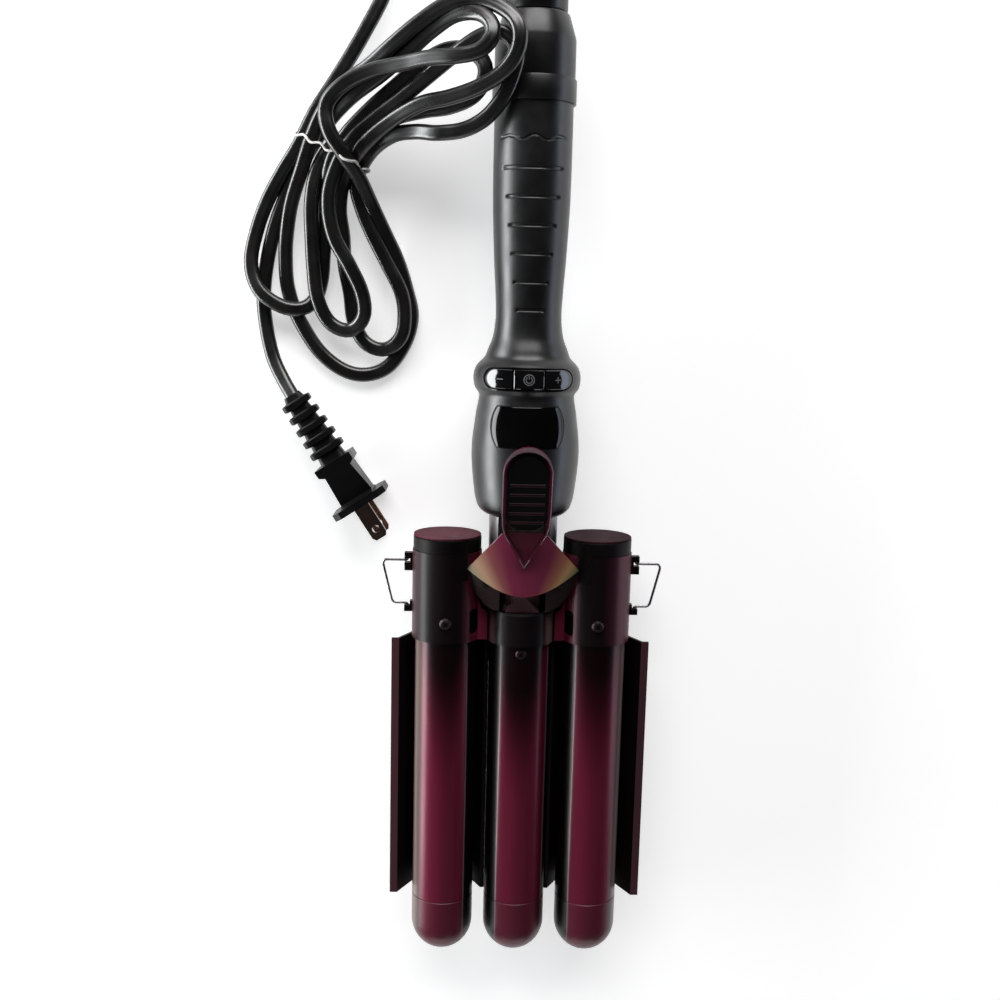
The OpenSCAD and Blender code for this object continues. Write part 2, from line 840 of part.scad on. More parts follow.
// an ear from the saddle down to the pivot pin
module saddle_ear(side) {
    ear_x = (ear_in + ear_out) / 2;
    ear_top = saddle_crown - saddle_radius + sqrt(pow(saddle_radius, 2) - ear_x * ear_x) - saddle_wall / 2;
    translate([side * ear_x - ear_wall / 2, 0, axis_z]) rotate([90, 0, 90]) linear_extrude(ear_wall) {
        circle(r = pin_r + 2.2);
        polygon([[-pin_r - 2.2, 0], [pin_r + 2.2, 0], [8, ear_top], [-3.5, ear_top]]);
    }
}

// height of the lever's upper face, on a parabola through root, middle and end
function lever_h(y) =
    lever_root_h * (y - lever_mid) * (y - lever_end) / ((lever_root - lever_mid) * (lever_root - lever_end))
    + lever_mid_h * (y - lever_root) * (y - lever_end) / ((lever_mid - lever_root) * (lever_mid - lever_end))
    + lever_rise * (y - lever_root) * (y - lever_mid) / ((lever_end - lever_root) * (lever_end - lever_mid));
function lever_under(y) =
    lever_h(y) - min(lever_wall, lever_root_h - saddle_crown - fit + (y - lever_root) * 0.12);

module lever_outline(inset) {
    half = lever_width / 2 - inset;
    round_at = lever_end - 10.5;
    end = [
        for (i = [0:12]) [half * cos(180 * i / 12), round_at + (10.5 - inset) * sin(180 * i / 12)]
    ];
    flank = [[half * 0.88, 20], [half * 0.97, 23.5], [half, 28]];
    polygon(concat([[0, lever_root + inset * 2]], flank, end, [for (p = reversed(flank)) [-p[0], p[1]]]));
}

module lever_slab(lift, drop) {
    steps = 16;
    ys = [for (i = [0:steps]) lever_root - 1 + (lever_end + 2 - lever_root) * i / steps];
    upper = [for (y = ys) [y, lever_h(y) + lift]];
    lower = [for (y = reversed(ys)) [y, lever_under(y) - drop]];
    translate([-lever_width, 0, axis_z]) rotate([90, 0, 90]) linear_extrude(2 * lever_width)
        polygon(concat(upper, lower));
}

module thumb_lever() {
    color([0.05, 0.045, 0.05])
    difference() {
        union() {
            intersection() {
                lever_slab(0, 0);
                prism(0, 60) lever_outline(0);
            }
            for (i = [0:rib_count - 1]) {
                y = rib_start + i * rib_pitch;
                translate([0, y, axis_z + lever_h(y) - 0.9]) rotate([0, 90, 0])
                    cylinder(r = rib_r, h = lever_width - 5.5, center = true);
            }
            translate([0, lever_screw_y, axis_z + saddle_crown + fit])
                cylinder(r = lever_boss_r, h = lever_under(lever_screw_y) - saddle_crown + 0.5);
        }
        // a shallow dish inside a raised rim
        difference() {
            intersection() {
                translate([0, 0, lever_wall - 0.7]) lever_slab(4, 0);
                prism(0, 80) lever_outline(1.1);
            }
            for (i = [0:rib_count - 1]) {
                y = rib_start + i * rib_pitch;
                translate([0, y, axis_z + lever_h(y) - 0.9]) rotate([0, 90, 0])
                    cylinder(r = rib_r, h = lever_width - 5.5, center = true);
            }
        }
        translate([0, lever_screw_y, axis_z + saddle_crown]) cylinder(r = 1 + fit, h = 3.2);
    }
}

module lever_screw() {
    color("silver")
    translate([0, lever_screw_y, axis_z + saddle_crown - saddle_wall - fit]) rotate([180, 0, 0])
        screw(2.2, 1.1, 1, saddle_wall + 2.8);
}

// ---------- barrels, caps and heaters ----------

module barrel(x, top) {
    color([0.36, 0.1, 0.17])
    difference() {
        tube(barrel_r, bore_r, -barrel_reach, top, x);
        if (x != 0) front_screw_cut(x, housing_screw_y, sleeve_r);
        if (x == 0) front_screw_cut(0, middle_screw_y, barrel_r);
        if (x == 0) cover_screw_cut();
    }
}

module tip_cap(x) {
    round_at = -barrel_reach - tip_straight;
    wall = 1.5;
    color([0.4, 0.12, 0.2])
    difference() {
        union() {
            bar(barrel_r, round_at, -barrel_reach - 0.2, x);
            bar(bore_r - fit, -barrel_reach - 0.5, -barrel_reach + tip_spigot, x);
            translate([x, round_at, axis_z]) sphere(r = barrel_r);
        }
        bar(barrel_r - wall - barrel_wall, round_at, 0, x);
        translate([x, round_at, axis_z]) sphere(r = barrel_r - wall - barrel_wall);
    }
}

// two spreader halves with the ceramic plate between them, pressed against the tube
module heater(x) {
    top = spigot_end - 2;
    low = -barrel_reach + tip_spigot + heater_margin;
    color("gainsboro")
    intersection() {
        bar(bore_r - 0.1, low, top, x);
        union() {
            block(x - 5.5, x + 5.5, -200, 100, 1.6, 20);
            block(x - 5.5, x + 5.5, -200, 100, -20, -1.6);
            block(x - 4, x + 4, low + 3, top - 3, -2, 2);
        }
    }
}

// hole for a front screw, with a flat that its head sits on
module front_screw_cut(x, y, surface_r) {
    translate([x, y, axis_z + 5]) cylinder(r = screw_shank_r + fit, h = 20);
    translate([x, y, axis_z + surface_r - head_sink]) cylinder(r = screw_head_d / 2 + fit, h = 5);
}

module housing_screws() {
    color("silver")
    for (side = [left, right])
        translate([side * barrel_pitch, housing_screw_y, axis_z + sleeve_r - head_sink])
            screw(screw_head_d / 2, 1.5, screw_shank_r, sleeve_r - 6.4);
}

module middle_screw() {
    color("silver")
    translate([0, middle_screw_y, axis_z + barrel_r - head_sink])
        screw(screw_head_d / 2 - 0.3, 1.4, screw_shank_r, barrel_r - 6.4);
}

// where the housing's plastic tab shows through the bracket
module tab_window(side, grow) {
    x0 = side * (barrel_pitch - 3.4 + grow);
    x1 = side * (barrel_pitch - 8.3 - grow);
    block(min(x0, x1), max(x0, x1), -1.5 - grow, sleeve_top + 10, 4, 20);
}

module housing(side) {
    x = side * barrel_pitch;
    plug_low = -3;
    color([0.09, 0.085, 0.095])
    difference() {
        union() {
            bar(sleeve_in - fit, plug_low, sleeve_top, x);
            bar(spigot_r, plug_low - 22, plug_low + 1, x);
            on_axis(x) rotate_extrude() polygon([
                [0, sleeve_top + 0.1], [cap_r, sleeve_top + 0.1], [cap_r, housing_top - 0.8],
                [cap_r - 0.8, housing_top], [0, housing_top]
            ]);
            bar(sleeve_in - fit, sleeve_top - 1, sleeve_top + 1, x);
            intersection() {
                tube(sleeve_r, sleeve_in - 1, -1.5, sleeve_top + 1, x);
                tab_window(side, 0);
            }
            difference() {
                tube(rear_sleeve_r, sleeve_in, -sleeve_reach, plug_low + 0.5, x);
                block(x - 20, x + 20, -60, 20, -fit, 20);
            }
            difference() {
                tube(rear_sleeve_r, sleeve_in - 1, plug_low, sleeve_top + 0.5, x);
                block(x - 20, x + 20, -60, 20, -fit, 20);
            }
        }
        bar(8, plug_low - 23, sleeve_top - 4, x);
        front_screw_cut(x, housing_screw_y, sleeve_r);
    }
}

module bracket(side) {
    x = side * barrel_pitch;
    web_h = 4.4;
    web_wall = 1.4;
    web_in = barrel_r + 0.9;
    web_out = barrel_pitch - sqrt(pow(sleeve_in, 2) - web_h * web_h) + 0.6;
    color([0.14, 0.09, 0.11])
    difference() {
        union() {
            intersection() {
                tube(sleeve_r, sleeve_in, -sleeve_reach, sleeve_top, x);
                front_half();
            }
            prism(web_h, web_h + web_wall) polygon([
                for (p = [
                    [web_out, -4], [web_out - 1.4, -10], [web_out - 3, -14], [web_in, -15.6],
                    [web_in, -sleeve_reach], [web_out, -sleeve_reach]
                ]) [side * p[0], p[1]]
            ]);
        }
        bar(sleeve_in, -60, 60, x);
        tab_window(side, 0.1);
        translate([side * (web_out + 0.2), -18.8]) prism(0, 30) rotate([0, 0, 90]) stadium(10.6, 3.2);
        front_screw_cut(x, housing_screw_y, sleeve_r);
    }
}

module middle_sleeve() {
    out = barrel_r + middle_wall;
    color([0.14, 0.09, 0.11])
    difference() {
        on_axis() rotate_extrude() polygon([
            [spigot_r + fit, middle_top], [out - 1.1, middle_top], [out - 0.4, middle_top - 0.3],
            [out, middle_top - 1.2], [out, -sleeve_reach - 1], [barrel_r + fit, -sleeve_reach - 1],
            [barrel_r + fit, middle_top - 1.9], [spigot_r + fit, middle_top - 1.9]
        ]);
        cover_screw_cut();
    }
}

// ---------- wave plates and rear cover ----------

// centre line of one plate in X and Z from its barrel's axis, outer wall on the positive side
function plate_line(r) =
    let (
        a = plate_slope,
        wall = [cos(a), sin(a)],
        foot = [r * sin(a), -r * cos(a)],
        outer_h = 3.5 + plate_wall - (r - trough_r),
        inner_h = -0.5,
        outer = foot + wall * (outer_h - foot[1]) / wall[1],
        inner = [-foot[0], foot[1]] + [-wall[0], wall[1]] * (inner_h - foot[1]) / wall[1]
    )
    concat(
        [inner],
        [for (i = [0:20]) r * [sin(-a + 2 * a * i / 20), -cos(-a + 2 * a * i / 20)]],
        [outer]
    );

module wave_plate(side) {
    near = plate_line(trough_r);
    far = plate_line(trough_r + plate_wall);
    lip_end = near[len(near) - 1][0] + lip_width;
    lip = [[lip_end, 3.5 + plate_wall], [lip_end, 3.5]];
    color([0.1, 0.06, 0.07])
    difference() {
        translate([side * barrel_pitch, 0, axis_z]) mirror([side < 0 ? 1 : 0, 0, 0])
            extrude_y(plate_end, plate_top) polygon(concat(near, lip, reversed(far)));
        rivet_cut(side);
    }
}

module rivet_cut(side) {
    for (y = rivet_ys)
        translate([side * barrel_pitch, y, -eps]) cylinder(r = rivet_r + fit, h = axis_z);
}

module plate_rivets() {
    color("silver")
    for (side = [left, right], y = rivet_ys)
        translate([side * barrel_pitch, y, 0]) {
            head_z = axis_z - trough_r + 0.25;
            translate([0, 0, 0.8]) cylinder(r = rivet_r + 1, h = 1);
            translate([0, 0, 1.8]) cylinder(r = rivet_r, h = head_z - 1.8);
            translate([0, 0, head_z]) cylinder(r = rivet_r + 1, h = 0.6);
        }
}

module rear_cover() {
    wing = cover_half;
    color([0.09, 0.09, 0.1])
    difference() {
        union() {
            extrude_y(cover_low, cover_step) polygon([
                [-wing + cover_chamfer, 0], [wing - cover_chamfer, 0], [wing, cover_chamfer],
                [wing, axis_z - 12], [18, axis_z - 9], [-18, axis_z - 9], [-wing, axis_z - 12],
                [-wing, cover_chamfer]
            ]);
            extrude_y(cover_step, cover_high) polygon([
                [-cover_narrow + cover_chamfer, 0], [cover_narrow - cover_chamfer, 0],
                [cover_narrow, cover_chamfer], [cover_narrow, axis_z - 8], [-cover_narrow, axis_z - 8],
                [-cover_narrow, cover_chamfer]
            ]);
        }
        for (side = [left, right]) {
            bar(trough_r + plate_wall + fit, -80, 80, side * barrel_pitch);
            rivet_cut(side);
            for (y = rivet_ys)
                translate([side * barrel_pitch, y, -eps]) cylinder(r = rivet_r + 1.2, h = 1.8 + eps);
        }
        bar(barrel_r + middle_wall + fit, -80, -5);
        bar(neck_r + fit, -6, 60);
        cover_screw_cut();
        for (y = cover_screw_ys)
            translate([0, y, -eps]) cylinder(r = 2.7, h = 2 + eps);
    }
}

module cover_screws() {
    color("silver")
    for (y = cover_screw_ys)
        translate([0, y, 2]) rotate([180, 0, 0]) screw(2.5, 1.5, cover_screw_r, axis_z - 8);
}

// ---------- wire stands ----------

module stand_lugs(side) {
    x0 = barrel_pitch + sleeve_r - 0.6;
    pivot = barrel_pitch + stand_pivot;
    out = pivot + wire_d / 2 + 0.8;
    color([0.06, 0.06, 0.065])
    mirror([side < 0 ? 1 : 0, 0, 0])
    difference() {
        union() {
            block(x0, out, stand_high - 4, stand_high + lug_depth, -1.6, 1.6);
            block(x0, out, stand_low - lug_depth, stand_low + 1, -1.5, 1.5);
        }
        bar(sleeve_r + fit, -60, 60, barrel_pitch);
        block(pivot - 0.9, out + 1, stand_high - wire_d / 2 - play, stand_high + wire_d / 2 + play, -5, 5);
        block(pivot - 0.9, out + 1, stand_low - wire_d / 2 - play, stand_low + 2, -5, 5);
        bar(wire_d / 2 + fit, stand_high - 1, stand_high + 3, pivot);
        bar(wire_d / 2 + fit, stand_low - 3, stand_low + 1, pivot);
    }
}

module wire_stand(side) {
    pivot = barrel_pitch + stand_pivot;
    wide = stand_reach;
    narrow = stand_reach * 0.57;
    outline = [
        [0, stand_high + 2.8], [0, stand_high + 0.9], [0.26, stand_high + 0.26], [0.9, stand_high],
        [wide - 1.5, stand_high], [wide - 0.6, stand_high - 0.25], [wide - 0.1, stand_high - 1],
        [wide - 0.05, stand_high - 1.9], [narrow + 1.15, stand_low + 2.8], [narrow + 0.7, stand_low + 1.1],
        [narrow, stand_low + 0.3], [narrow - 0.8, stand_low], [0.9, stand_low], [0.26, stand_low - 0.26],
        [0, stand_low - 0.9], [0, stand_low - 2.8]
    ];
    color("silver") sweep([for (p = outline) [side * (pivot + p[0]), p[1], axis_z]], wire_d, wire_d, 12);
}

// ---------- cord and plug ----------

module cord_lead() {
    color("black") sweep(refined(lead_route), cord_width, cord_thickness);
}

module cord_tail() {
    color("black") sweep(refined(tail_route), cord_width, cord_thickness);
}

module hank_outline(near, near_r, far, far_r) {
    hull() {
        translate(near) circle(r = near_r, $fn = 32);
        translate(far) circle(r = far_r, $fn = 32);
    }
}

module cord_hank_lower() {
    color("black") linear_extrude(hank_height) hank_outline(tie_at, 11, [-70, 103], 27);
}

// the upper loops lean against the handle
module cord_hank_upper() {
    color("black")
    translate([hank_hinge, 0, 0.5]) rotate([0, -hank_tilt, 0]) translate([-hank_hinge, 0, 0])
        linear_extrude(hank_height) hank_outline(tie_at + [2, 4], 11, [-25, 193], 27);
}

module cord_tie() {
    turn = [cos(28), -sin(28), 0];
    loop = [
        for (i = [0:24])
            let (a = 360 * i / 24)
            [tie_at[0], tie_at[1], 9] + turn * 14.6 * cos(a) + [0, 0, 8.4 * sin(a)]
    ];
    color("white") helix(loop, 0.5);
}

module on_plug() {
    translate(plug_at) rotate([0, 0, plug_turn]) children();
}

module plug_relief() {
    color([0.08, 0.08, 0.085]) on_plug() {
        rotate([0, 90, 0]) cylinder(r1 = 3.6, r2 = 4.8, h = relief_end);
        for (i = [0:4])
            translate([1 + i * 5.4, -6 - i * 0.3, -3.4 - i * 0.25]) cube([2.8, 12 + i * 0.6, 6.8 + i * 0.5]);
    }
}

module plug_body() {
    color([0.08, 0.08, 0.085]) on_plug() {
        difference() {
            translate([0, 0, -8.6]) linear_extrude(17.2) polygon([
                [relief_end, -8], [relief_end + 3.2, -8], [relief_end + 4.4, -5.9], [flange_at, -7.3],
                [flange_at, 7.3], [relief_end + 4.4, 5.9], [relief_end + 3.2, 8], [relief_end, 8]
            ]);
            for (side = [left, right])
                translate([relief_end - 1, -20, side * 14]) rotate([0, side * 14, 0])
                    translate([-10, 0, -5]) cube([30, 40, 10]);
        }
        translate([flange_at, 0, 0]) rotate([90, 0, 90]) linear_extrude(blade_start - flange_at) polygon([
            [-11.8, -7], [-8.8, -10], [8.8, -10], [11.8, -7], [11.8, 7], [8.8, 10], [-8.8, 10], [-11.8, 7]
        ]);
    }
}

module plug_blades() {
    color("silver") on_plug()
    for (side = [left, right])
        translate([blade_start, 0, side * 6.35 - 0.75]) difference() {
            linear_extrude(1.5) polygon([
                [0.02, -3.2], [blade_length - 1.5, -3.2], [blade_length, -2.2],
                [blade_length, 2.2], [blade_length - 1.5, 3.2], [0.02, 3.2]
            ]);
            translate([blade_length - 4.2, 0, -1]) cylinder(r = 1.6, h = 4);
        }
}

// ---------- assembly ----------

grip_shell_front();
grip_shell_rear();
tail_band();
shell_screws();
circuit_board();
board_screws();
display_module();
display_window();
key_bezel();
key_minus();
key_power();
key_plus();
key_switches();
slip_brushes();
slip_rings();
mains_leads();
swivel_cap();
strain_relief();
neck_tube();
yoke();
pivot_pin();
return_spring();
saddle();
thumb_lever();
lever_screw();
middle_sleeve();
barrel(0, middle_top - 2);  // middle_barrel
tip_cap(0);  // middle_tip_cap
heater(0);  // middle_heater
middle_screw();
bracket(left);  // left_bracket
housing(left);  // left_housing
barrel(left * barrel_pitch, -3.2);  // left_barrel
tip_cap(left * barrel_pitch);  // left_tip_cap
heater(left * barrel_pitch);  // left_heater
bracket(right);  // right_bracket
housing(right);  // right_housing
barrel(right * barrel_pitch, -3.2);  // right_barrel
tip_cap(right * barrel_pitch);  // right_tip_cap
heater(right * barrel_pitch);  // right_heater
housing_screws();
wave_plate(left);  // left_wave_plate
wave_plate(right);  // right_wave_plate
plate_rivets();
rear_cover();
cover_screws();
stand_lugs(left);  // left_stand_lugs
stand_lugs(right);  // right_stand_lugs
wire_stand(left);  // left_wire_stand
wire_stand(right);  // right_wire_stand
cord_lead();
cord_hank_upper();
cord_hank_lower();
cord_tie();
cord_tail();
plug_relief();
plug_body();
plug_blades();
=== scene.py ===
import math
import bpy
import bmesh
from mathutils import Matrix, Vector
from mathutils.kdtree import KDTree


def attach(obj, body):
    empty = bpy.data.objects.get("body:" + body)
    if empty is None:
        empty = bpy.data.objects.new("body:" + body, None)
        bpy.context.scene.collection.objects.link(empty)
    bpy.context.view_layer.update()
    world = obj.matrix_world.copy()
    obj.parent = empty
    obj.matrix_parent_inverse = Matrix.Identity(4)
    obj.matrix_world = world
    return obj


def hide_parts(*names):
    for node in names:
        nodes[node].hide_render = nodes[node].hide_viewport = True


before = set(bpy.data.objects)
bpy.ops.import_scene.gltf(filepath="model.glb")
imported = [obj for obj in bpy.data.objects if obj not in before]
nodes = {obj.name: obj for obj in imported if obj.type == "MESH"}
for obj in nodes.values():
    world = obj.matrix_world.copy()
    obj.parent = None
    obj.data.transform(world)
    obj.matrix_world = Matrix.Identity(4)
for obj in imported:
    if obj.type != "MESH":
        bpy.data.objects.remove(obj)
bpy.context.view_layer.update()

# sizes below are in millimetres in the frame's own axes, and meshes are made in metres
milli = 0.001
axisHeight = 21.2  # of the barrels and the handle over the table
barrelPitch = 29.8
barrelRadius = 12.5


def addItem(name, data):
    item = bpy.data.objects.new(name, data)
    bpy.context.scene.collection.objects.link(item)
    return item


# camera

camera = {
    "place": (-19.18, 107.17, 480.28),
    "target": (-9.36, 28.78, axisHeight),
    "roll": 0.0231,
    "focal": 1180.0,  # in pixels of the 1000 pixel square
    "sensor": 36.0,
}


def addCamera(values):
    place = Vector(values["place"])
    forward = (Vector(values["target"]) - place).normalized()
    side = forward.cross(Vector((0, 1, 0))).normalized()
    above = side.cross(forward)
    c, s = math.cos(values["roll"]), math.sin(values["roll"])
    turnedSide = side * c + above * s
    turnedAbove = above * c - side * s
    data = bpy.data.cameras.new("productCamera")
    data.sensor_width = values["sensor"]
    data.lens = values["focal"] * values["sensor"] / 1000
    data.clip_start = 0.01
    data.clip_end = 20
    item = addItem("productCamera", data)
    turn = Matrix((turnedSide, turnedAbove, -forward)).transposed().to_4x4()
    item.matrix_world = Matrix.Translation(place * milli) @ turn
    bpy.context.scene.camera = item


addCamera(camera)
print("camera placed")


# materials

def newMaterial(name):
    material = bpy.data.materials.new(name)
    material.use_nodes = True
    tree = material.node_tree
    shader = tree.nodes["Principled BSDF"]
    return material, tree, shader


def noise(tree, scale, detail, stretch):
    coordinates = tree.nodes.new("ShaderNodeTexCoord")
    mapping = tree.nodes.new("ShaderNodeMapping")
    mapping.inputs["Scale"].default_value = stretch
    texture = tree.nodes.new("ShaderNodeTexNoise")
    texture.inputs["Scale"].default_value = scale
    texture.inputs["Detail"].default_value = detail
    tree.links.new(coordinates.outputs["Object"], mapping.inputs["Vector"])
    tree.links.new(mapping.outputs["Vector"], texture.inputs["Vector"])
    return texture.outputs["Fac"]


def ramp(tree, value, stops):
    # a new ramp has two stops, so the first two of the list are its two ends
    node = tree.nodes.new("ShaderNodeValToRGB")
    for k, (place, colour) in enumerate(stops):
        stop = node.color_ramp.elements[k] if k < 2 else node.color_ramp.elements.new(place)
        stop.position = place
        stop.color = (*[part / 1000 for part in colour], 1)
    tree.links.new(value, node.inputs["Fac"])
    return node.outputs["Color"]


def mapped(tree, value, limits, style="LINEAR"):
    # limits are the lowest and highest value that come in, and the two that they turn into
    node = tree.nodes.new("ShaderNodeMapRange")
    node.interpolation_type = style
    for label, limit in zip(("From Min", "From Max", "To Min", "To Max"), limits):
        node.inputs[label].default_value = limit
    tree.links.new(value, node.inputs["Value"])
    return node.outputs["Result"]


brushed = (1, 0.2, 1)  # stretches a pattern along a piece
relief = {
    "clouds": 60,  # scale of the slow changes of colour
    "smears": 138,  # scale of the changes of gloss
    "height": 0.0002,  # of the grain, in metres
}


def finish(name, low, high, rough, grain, bump, metal=0.0, coat=0.0, coatRough=0.08, specular=0.5,
           stretch=(1, 1, 1)):
    # the colour wanders from low to high, and grain and bump are the fine relief's scale and strength
    material, tree, shader = newMaterial(name)
    clouds = noise(tree, relief["clouds"], 4.0, stretch)
    smears = noise(tree, relief["smears"], 2.0, stretch)
    bumps = tree.nodes.new("ShaderNodeBump")
    bumps.inputs["Strength"].default_value = bump
    bumps.inputs["Distance"].default_value = relief["height"]
    tree.links.new(noise(tree, grain, 3.0, stretch), bumps.inputs["Height"])
    tree.links.new(ramp(tree, clouds, [(0.35, low), (0.65, high)]), shader.inputs["Base Color"])
    tree.links.new(mapped(tree, smears, (0.3, 0.7, *rough)), shader.inputs["Roughness"])
    tree.links.new(bumps.outputs["Normal"], shader.inputs["Normal"])
    for label, value in (("Metallic", metal), ("Coat Weight", coat), ("Coat Roughness", coatRough),
                         ("Specular IOR Level", specular)):
        shader.inputs[label].default_value = value
    return material


def chained(tree, value, *steps):
    # a Math node for each step, which is an operation and the number or value that it works with
    for operation, second in steps:
        node = tree.nodes.new("ShaderNodeMath")
        node.operation = operation
        tree.links.new(value, node.inputs[0])
        if isinstance(second, (int, float)):
            node.inputs[1].default_value = second
        else:
            tree.links.new(second, node.inputs[1])
        value = node.outputs[0]
    return value


# painted dark reflection: a dark tongue that darkens each barrel towards its upper end
tongue = {
    "narrow": 2.6,  # of the dark tongue that runs down a barrel from its upper end
    "drop": 0.4,  # of its edges against its middle
    "shades": (1.35, 0.05),
}


def bandedFinish(name, bands, rough, metal, coat, fade=None, wander=0.1, coatRough=0.18, fan=None,
                 specular=0.35):
    # colour runs across the piece's own width, or fans out from its lower middle, and can darken upwards
    # the bands across are painted reflections and sheen, and the darkening upwards is a painted dark
    # reflection
    material = finish(name, bands[0][1], bands[-1][1], rough, 900, 0.02, metal, coat, coatRough, specular,
                      (1, 0.15, 1))
    tree = material.node_tree
    coordinates = tree.nodes.new("ShaderNodeTexCoord")
    axes = tree.nodes.new("ShaderNodeSeparateXYZ")
    tree.links.new(coordinates.outputs["Generated"], axes.inputs["Vector"])
    place, height = axes.outputs["X"], axes.outputs["Y"]
    drift = chained(tree, noise(tree, 40, 2.0, (1, 0.3, 1)), ("SUBTRACT", 0.5), ("MULTIPLY", wander))
    if fan:
        over = chained(tree, height, ("SUBTRACT", fan["low"]))
        place = chained(tree, place, ("SUBTRACT", 0.5), ("MULTIPLY", fan["aspect"]), ("ARCTAN2", over),
                        ("DIVIDE", 2 * math.radians(fan["reach"])), ("ADD", 0.5))
    across = chained(tree, place, ("ADD", drift))
    result = ramp(tree, across, bands)
    # painted dark reflection: colour scaled up lower down and almost to black at the upper end
    if fade:
        bend = chained(tree, across, ("SUBTRACT", 0.5), ("ABSOLUTE", 0), ("MULTIPLY", tongue["narrow"]),
                       ("POWER", 3), ("MULTIPLY", tongue["drop"]))
        level = chained(tree, height, ("ADD", drift), ("SUBTRACT", bend))
        scaled = tree.nodes.new("ShaderNodeVectorMath")
        scaled.operation = "SCALE"
        tree.links.new(result, scaled.inputs[0])
        shade = mapped(tree, level, (*fade, *tongue["shades"]), "SMOOTHSTEP")
        tree.links.new(shade, scaled.inputs["Scale"])
        result = scaled.outputs["Vector"]
    tree.links.new(result, tree.nodes["Principled BSDF"].inputs["Base Color"])
    return material


# colours are red, green and blue in thousandths, and in bands each follows its place from 0 to 1
plum = (88, 6.5, 21)
deepPlum = (55, 5, 14)
# pale, glint and black are painted reflections: a lamp's pale streak, thin glint lines and the dark trough
pale = (160, 125, 110)
glint = (150, 75, 85)
black = (2.5, 1.5, 1.8)
shell = (4.5, 2.2, 2.8)
# across a barrel only the plum is its own colour; the pale streak, glint lines and dark sides are painted
# reflections
barrelPaintedReflections = {
    "left": [(0.0, deepPlum), (1.0, black), (0.05, pale), (0.11, (60, 32, 32)), (0.20, plum), (0.78, plum),
             (0.835, deepPlum), (0.85, glint), (0.865, black)],
    "middle": [(0.0, black), (1.0, black), (0.17, black), (0.185, glint), (0.20, deepPlum), (0.27, plum),
               (0.80, plum), (0.92, deepPlum), (0.94, glint), (0.955, black)],
    "right": [(0.0, black), (1.0, deepPlum), (0.17, black), (0.185, glint), (0.20, deepPlum), (0.27, plum),
              (0.82, plum), (0.90, (60, 34, 34)), (0.955, pale)],
}
# the sleeves are black (shell); their pale edges and plum streaks at the sides are painted reflections
sleevePaintedReflections = {
    "left": [(0.0, (40, 18, 20)), (1.0, plum), (0.05, (35, 13, 15)), (0.11, (12, 5, 6)), (0.18, shell),
             (0.66, shell), (0.78, deepPlum), (0.90, (130, 12, 35))],
    "middle": [(0.0, deepPlum), (1.0, glint), (0.06, glint), (0.12, shell), (0.84, shell),
               (0.90, (120, 70, 70))],
    "right": [(0.0, plum), (1.0, plum), (0.12, plum), (0.22, deepPlum), (0.32, shell), (0.60, shell),
              (0.74, (30, 5, 10)), (0.86, (85, 25, 34)), (0.94, deepPlum)],
}
# the plum middle is the saddle's colour; the pale edge and the gold and olive towards its sides are painted
# sheen
saddlePaintedSheen = [
    (0.0, (50, 30, 30)), (1.0, (40, 22, 20)), (0.05, (200, 200, 140)), (0.13, (360, 220, 140)),
    (0.24, (200, 60, 60)), (0.34, (160, 20, 52)), (0.70, (160, 22, 50)), (0.82, (260, 100, 60)),
    (0.89, (340, 200, 90)), (0.95, (120, 120, 50)),
]
saddleFan = {"aspect": 1.38, "low": -0.22, "reach": 47}

barrelFinish, tipFinish, sleeveFinish = {}, {}, {}
# barrels and tips carry these painted reflections, and the barrels also a painted dark reflection at their
# upper ends
for side, bands in barrelPaintedReflections.items():
    barrelFinish[side] = bandedFinish(side + "PlumBarrel", bands, (0.30, 0.38), 0.25, 0.14, (0.32, 0.76),
                                      0.03, specular=0.2)
    tipFinish[side] = bandedFinish(side + "PlumTip", bands, (0.34, 0.44), 0.2, 0.1, None, 0.05, 0.25)
    sleeveFinish[side] = bandedFinish(side + "Sleeve", sleevePaintedReflections[side], (0.36, 0.44), 0.1, 0.06, None,
                                      0.08, specular=0.15)
saddleFinish = bandedFinish("plumSaddle", saddlePaintedSheen, (0.28, 0.36), 0.2, 0.3, fan=saddleFan)
gripFinish = finish("satinGrip", (1.6, 1.5, 1.8), (2.8, 2.6, 3), (0.32, 0.40), 2600, 0.05, specular=0.65)
neckFinish = finish("neckMetal", (160, 160, 165), (220, 220, 225), (0.30, 0.40), 1800, 0.04, metal=1.0,
                    stretch=brushed)
# one plum in two copies: lit on the left disc and shaded on the right, painted light and painted shade
discPaintedLight = {
    "left": finish("paintedLitPlum", (60, 11, 20), (92, 18, 32), (0.55, 0.65), 3200, 0.5, specular=0.1),
    "right": finish("paintedShadedPlum", (20, 4, 8), (32, 7, 12), (0.55, 0.65), 3200, 0.5, specular=0.05),
}
bandFinish = finish("darkHousing", (2.2, 1.5, 1.8), (4.5, 3, 3.6), (0.38, 0.48), 3000, 0.25, specular=0.1)
wingFinish = finish("darkWing", (10, 5, 5.5), (18, 8, 9), (0.30, 0.40), 1500, 0.06, specular=0.3)
leverFinish = finish("plumLever", (60, 4.5, 16), (78, 6.5, 22), (0.34, 0.42), 2200, 0.05, specular=0.1)
